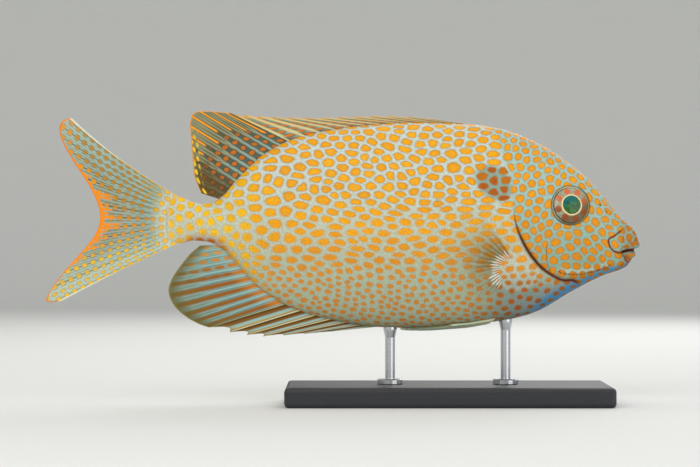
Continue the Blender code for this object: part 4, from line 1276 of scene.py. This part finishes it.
def paintAnalRays():
    marks = analRayPaint
    paint = Paint("analRays", marks["colours"], **finFinish)
    ray, run, length, margin, beam = paint.numbers("ray", "run", "length", "margin", "beam")
    place = paint.vector("place")
    blur = paint.noise(place, marks["blur"]) - 0.5
    fine = paint.noise(place, finGrain)
    wave = abs(ray.part() - 0.5) + (fine - 0.5) * 0.06
    broken = streakSpots(ray, length, *marks["bars"]).fall(0.8, 1.2).most(ray.fall(5.0, 7.5))
    pale = paint.layers(
        paint.mix(run.rise(0.25, 1.0), "paleRoot", "paleOuter"),
        (run.fall(0.0, 0.3) * 0.4, "foot"),
        (abs(wave - 0.34).fall(0.02, 0.08) * 0.5, "seam"),
        # A painted highlight along the ridges of the rays.
        (beam * 0.35, "crest"),
    )
    stripe = paint.layers(
        paint.mix(ray.rise(5.5, 8.5), "stripe", "stripeRear"),
        (run.rise(0.3, 1.0) * 0.6, "stripeOuter"),
        (run.fall(0.0, 0.25) * 0.8, "stripeRoot"),
    )
    base = paint.layers(
        paint.mix(wave.fall(0.12, 0.33) * broken, pale, stripe),
        ((margin + blur * 3.0).fall(0.8, 8.5) * 0.75, "olive"),
        (margin.fall(0.4, 1.1) * 0.8, "rim"),
    )
    paint.set("Base Color", base)
    paint.bump(beam * 0.5 + (length * finJoints).wave() * 0.1 * beam + fine * 0.3, *finBump)
    return paint.material


def paintAnalSpines():
    paint = Paint("analSpines", analSpinePaint, **finFinish)
    ray, run, beam = paint.numbers("ray", "run", "beam")
    fine = paint.noise(paint.vector("place"), finGrain)
    part = ray.part()
    base = paint.layers(
        paint.mix(part.rise(0.12, 0.32), "ochre", "blue"),
        ((part + (fine - 0.5) * 0.1).rise(0.4, 0.6), "brown"),
        # A painted shadow beside the neighbouring spine that overlaps this one.
        (part.rise(0.68, 0.9) * 0.75, "dark"),
        (beam.rise(0.3, 0.75), paint.mix(part.rise(0.0, 0.25), "crestPale", "crestTan")),
        (run.rise(0.85, 1.0) * 0.4, "rim"),
    )
    paint.set("Base Color", base)
    paint.bump(fine * 0.6 + beam * 0.4, *finBump)
    return paint.material


def paintTailRays():
    marks = tailPaint
    paint = Paint("tailRays", marks["colours"], **finFinish)
    ray, run, length, margin, beam, gap = paint.numbers("ray", "run", "length", "margin", "beam", "gap")
    fine = paint.noise(paint.vector("place"), finGrain)
    grain = fine - 0.5
    inner = abs(ray - marks["middle"]).fall(1.0, 6.5)
    thirds = ray * 3.0
    acrossThird = abs(thirds.part() - 0.5)
    spot = streakSpots(ray, length, *marks["spots"]) + grain * 0.5 + length.fall(8.0, 13.0) * 2.0
    apart, wide, long = marks["pairs"]
    pairs = streakSpots(ray / 2.0 + 0.25, length + 1.5, apart, wide / gap, long)
    spot = spot.least(pairs + length.rise(9.0, 13.0) * 2.0 + grain * 0.2)
    ink = paint.layers(
        paint.mix(ray.rise(10.0, 14.0), "spot", "spotLower"),
        (ray.fall(6.0, 11.0) * margin.rise(4.0, 14.0) * 0.75, "spotOlive"),
        (run.fall(0.05, 0.35), "spotRoot"),
    )
    chance = hashed(thirds.whole(), 5.17)
    reach = 0.8 + inner * (1.2 + marks["streak"] * chance * chance * acrossThird.fall(0.1, 0.42))
    lead = (ray.fall(0.12, 0.4)).most(ray.rise(16.6, 16.88))
    base = paint.layers(
        paint.mix(length.rise(1.0, 16.0), "root", "blade"),
        (ray.rise(11.0, 16.0) * 0.5, "lower"),
        # Painted shade: darker olive on the middle rays, towards the fork's margin.
        (inner * run.rise(0.2, 0.9) * 0.7, "middle"),
        (beam.rise(0.3, 0.9) * length.rise(6.0, 16.0) * 0.22, "crest"),
        (beam.fall(0.1, 0.4) * length.rise(4.0, 16.0) * 0.45, "hollow"),
        (acrossThird.rise(0.2, 0.42) * length.rise(10.0, 22.0) * 0.34, "hair"),
        (spot.fall(0.9, 1.5) * 0.5, "shade"),
        (spot.fall(0.8, 1.12) * (0.7 + 0.3 * hashed(ray.whole(), 3.71)), ink),
        ((margin - reach + grain).fall(-0.3, 0.5), "fork"),
        (lead * 0.85, paint.mix(run.fall(0.35, 0.75), "leadRoot", "leadTip")),
    )
    paint.set("Base Color", base)
    paint.bump(beam * 0.5 + fine * 0.3, *finBump)
    return paint.material


def paintPectoralRays():
    paint = Paint("pectoralRays", pectoralPaint, Roughness=0.3, Coat_Weight=0.1)
    ray, run, length, beam = paint.numbers("ray", "run", "length", "beam")
    chance = hashed((ray + 0.5).whole(), 9.37)
    lash = (length - chance * 2.4).fall(0.8, 3.0)
    base = paint.layers(
        paint.mix(lash, "clear", "lash"),
        (beam.fall(0.25, 0.7), "web"),
        (run.rise(0.45, 1.0), "outer"),
    )
    pleat = beam.fall(0.2, 0.7) * ray.fall(6.5, 10.5) * length.rise(0.5, 2.5) * length.fall(4.0, 20.0)
    stroke = beam.rise(0.5, 0.95) * (lash * (0.25 + 0.3 * chance) + 0.2 * run.fall(0.2, 1.0))
    paint.set("Base Color", base)
    paint.set("Alpha", 0.04 + 0.06 * run.fall(0.3, 1.0) + 0.3 * pleat + stroke)
    return paint.material


def paintPelvicRays():
    paint = Paint("pelvicRays", pelvicPaint, **finFinish)
    run, beam = paint.numbers("run", "beam")
    fine = paint.noise(paint.vector("place"), finGrain)
    base = paint.mix(beam.rise(0.3, 0.8), "web", "crest")
    paint.set("Base Color", paint.mix(run.fall(0.0, 0.5) * 0.3 + fine * 0.15, base, "root"))
    paint.bump(beam * 0.5 + fine * 0.3, *finBump)
    return paint.material


# On the eyeball, brown and rim are painted shade, gleam is a painted highlight, and groove is a dark ring
# painted darker in shade.
eyePaint = {
    "colours": {
        "pale": (172, 176, 148), "drab": (112, 108, 72), "brown": (86, 62, 22), "spotLow": (142, 66, 2),
        "spotTop": (214, 104, 52), "groove": (60, 54, 38), "gleam": (220, 206, 140), "rim": (54, 44, 28),
        "green": (40, 104, 22), "teal": (0, 118, 116), "mottle": (6, 34, 20), "pupilEdge": (8, 26, 18),
        "ring": (240, 214, 158),
    },
    "finish": {"Roughness": 0.3, "Coat_Weight": 0.12, "Coat_Roughness": 0.05, "Specular_IOR_Level": 0.3},
    "blur": 0.45,
    "grain": 1.3,
    "spots": 8,
    "spotTurn": 0.15,
    "spotsAt": 7.2,  # from the middle, as the next ones are
    "grooveAt": 8.9,
    "gleamAt": 9.4,
    "ringAt": 5.0,
    "spotWide": 2.0,
    "spotLong": 1.75,
}


def paintEye():
    marks = eyePaint
    paint = Paint("eyeball", marks["colours"], **marks["finish"])
    away = paint.number("iris")
    disc = paint.vector("disc")
    x, z, _ = paint.parts(disc)
    blur = paint.noise(disc, marks["blur"])
    rough = blur - 0.5
    fine = paint.noise(disc, marks["grain"])
    lane = z.turn(x) * (marks["spots"] / (2 * math.pi)) + marks["spotTurn"]
    across = ((lane.part() - 0.5) * away * (2 * math.pi / marks["spots"])) / marks["spotWide"]
    along = (away - marks["spotsAt"]) / marks["spotLong"]
    spot = (across * across + along * along).root() + rough * 0.7
    # 1 on the eyeball's shaded side, low and to the rear, 0 on its lit side: it sets the painted shade and
    # the painted highlight below.
    shade = (0.5 - x * 0.05 - z * 0.03 + rough).rise(0.1, 0.9)
    pupil = paint.layers(
        paint.mix((z * 0.11 - x * 0.05 + 0.5 + rough * 0.4).rise(0.3, 0.95), "green", "teal"),
        ((fine * 0.6 + blur * 0.4).rise(0.49, 0.56) * 0.75, "mottle"),
        (away.rise(4.1, 4.6) * 0.7, "pupilEdge"),
    )
    base = paint.layers(
        paint.mix(fine.rise(0.35, 0.65) * 0.6, "pale", "drab"),
        # Painted shade: darker brown towards the lower front.
        ((x * 0.05 - z * 0.07 + 0.5).rise(0.4, 0.95) * 0.75, "brown"),
        (spot.fall(0.65, 1.1) * 0.95, paint.mix((z * 0.1 + 0.5).rise(0.1, 1.1), "spotLow", "spotTop")),
        # A dark ring, painted darker on the shaded side.
        (abs(away - marks["grooveAt"] + rough * 0.5).fall(0.1, 0.4) * (0.4 + 0.6 * shade), "groove"),
        # A painted highlight: a pale ring on the lit side.
        (abs(away - marks["gleamAt"]).fall(0.05, 0.35) * (1.0 - shade) * 0.7, "gleam"),
        # Painted shade at the eyeball's edge, where it sinks into the socket, darker on the shaded side.
        (away.rise(9.7, 10.1) * (0.6 + 0.4 * shade), "rim"),
        (away.fall(4.6, 4.8), pupil),
        (abs(away - marks["ringAt"] + rough * 0.8).fall(0.18, 0.46), "ring"),
    )
    paint.set("Base Color", base)
    return paint.material


dressed = (
    ((skin, *lips), "skin", paintSkin),
    ((dorsalSpines,), "fin_membrane", paintDorsalSpines),
    ((dorsalRays,), "fin_membrane", paintDorsalRays),
    ((analSpines,), "fin_membrane", paintAnalSpines),
    ((analRays,), "fin_membrane", paintAnalRays),
    ((tailRays,), "fin_membrane", paintTailRays),
    (pectorals, "fin_membrane", paintPectoralRays),
    (pelvics, "fin_membrane", paintPelvicRays),
    (eyes, "eye", paintEye),
)
for pieces, slot, painted in dressed:
    material = painted()
    for piece in pieces:
        piece.data.materials.append(material)
print("materials on", sum(len(pieces) for pieces, _, _ in dressed), "pieces")

standBase = {"colours": {"dark": (34, 35, 38), "light": (48, 49, 52)}, "grain": 900.0, "detail": 3.0}
standRod = {"colours": {"dark": (176, 178, 182), "light": (214, 216, 220)}, "around": 60.0, "along": 4200.0}


def paintBase():
    paint = Paint("standBase", standBase["colours"], Roughness=0.5, Specular_IOR_Level=0.4)
    grain = paint.noise(paint.place(), standBase["grain"], standBase["detail"])
    paint.set("Base Color", paint.mix(grain, "dark", "light"))
    paint.set("Roughness", 0.42 + grain * 0.2)
    paint.bump(grain, 0.08, 0.4)
    return paint.material


def paintRod():
    paint = Paint("standRod", standRod["colours"], Metallic=1.0)
    x, y, z = paint.parts(paint.place())
    wide, long = standRod["around"], standRod["along"]
    brushed = paint.noise(paint.joined(x * wide, y * wide, z * long), 1.0)
    paint.set("Base Color", paint.mix(brushed, "dark", "light"))
    paint.set("Roughness", 0.24 + brushed * 0.14)
    paint.bump(brushed, 0.04, 0.3)
    return paint.material


for word, painted in (("stand_base", paintBase), ("stand_rod_front", paintRod), ("stand_rod_rear", paintRod)):
    frame["nodes"][word].data.materials[0] = painted()

studio = {
    "flat": 2.0,
    "rings": (0.02, 0.3, 0.6, 0.9, 0.98, 1.0),  # as shares of the flat part
    "bend": 0.6,
    "bends": 12,
    "height": 1.6,
    "around": 96,
}


def buildStage():
    # A round pale floor that curves up into a wall on all sides.
    flat, bend, count = studio["flat"], studio["bend"], studio["around"]
    profile = [(flat * share, 0.0) for share in studio["rings"]]
    for turn in np.linspace(0.0, math.pi / 2, studio["bends"] + 1)[1:]:
        profile.append((flat + bend * math.sin(turn), bend * (1 - math.cos(turn))))
    profile.append((flat + bend, studio["height"]))
    turns = 2 * math.pi * np.arange(count) / count
    points = [(away * math.cos(turn), away * math.sin(turn), z) for away, z in profile for turn in turns]
    faces = [tuple(range(count))] + gridFaces(len(profile), count, True).tolist()
    floor = meshObject("studio_floor", points, faces)
    paint = Paint("studioFloor", {"floor": (226, 226, 222)}, Roughness=0.9)
    paint.set("Base Color", "floor")
    floor.data.materials.append(paint.material)
    return floor


studioFloor = buildStage()

aimHeight = 0.08
lamps = {
    "key": {"at": (-0.5, -1.25, 0.75), "size": 0.8, "power": 8.4},
    "fill": {"at": (0.95, -0.95, 0.25), "size": 0.8, "power": 5.0},
    "top": {"at": (0.0, 0.3, 1.15), "size": 0.9, "power": 3.5},
    "rear": {"at": (0.4, 1.2, 0.8), "size": 0.8, "power": 6.0},
}
for word, lamp in lamps.items():
    light = bpy.data.lights.new(word, "AREA")
    light.size = lamp["size"]
    light.energy = lamp["power"]
    made = bpy.data.objects.new("lamp_" + word, light)
    made.location = lamp["at"]
    bpy.context.scene.collection.objects.link(made)
    aim = np.array([0.0, 0.0, aimHeight]) - np.array(lamp["at"])
    tilt = math.acos(-aim[2] / np.linalg.norm(aim))
    made.rotation_euler = (tilt, 0.0, math.atan2(aim[1], aim[0]) - math.pi / 2)

world = bpy.data.worlds.new("studio")
world.use_nodes = True
sky = world.node_tree.nodes["Background"]
sky.inputs["Color"].default_value = (0.93, 0.95, 0.97, 1.0)
sky.inputs["Strength"].default_value = 0.6
bpy.context.scene.world = world
print("stage,", len(lamps), "lamps and sky")

# How far off the camera is, how wide it sees there, and what it looks at, in metres.
sight = {"away": 1.5, "wide": 0.3542, "x": 0.0033, "z": 0.0862, "sensor": 36.0}
camera = bpy.data.objects.new("camera", bpy.data.cameras.new("camera"))
camera.data.sensor_width = sight["sensor"]
camera.data.lens = sight["sensor"] * sight["away"] / sight["wide"]
camera.location = (sight["x"], -sight["away"], sight["z"])
camera.rotation_euler = (math.pi / 2, 0.0, 0.0)
bpy.context.scene.collection.objects.link(camera)
bpy.context.scene.camera = camera
bpy.context.scene.view_settings.view_transform = "Standard"
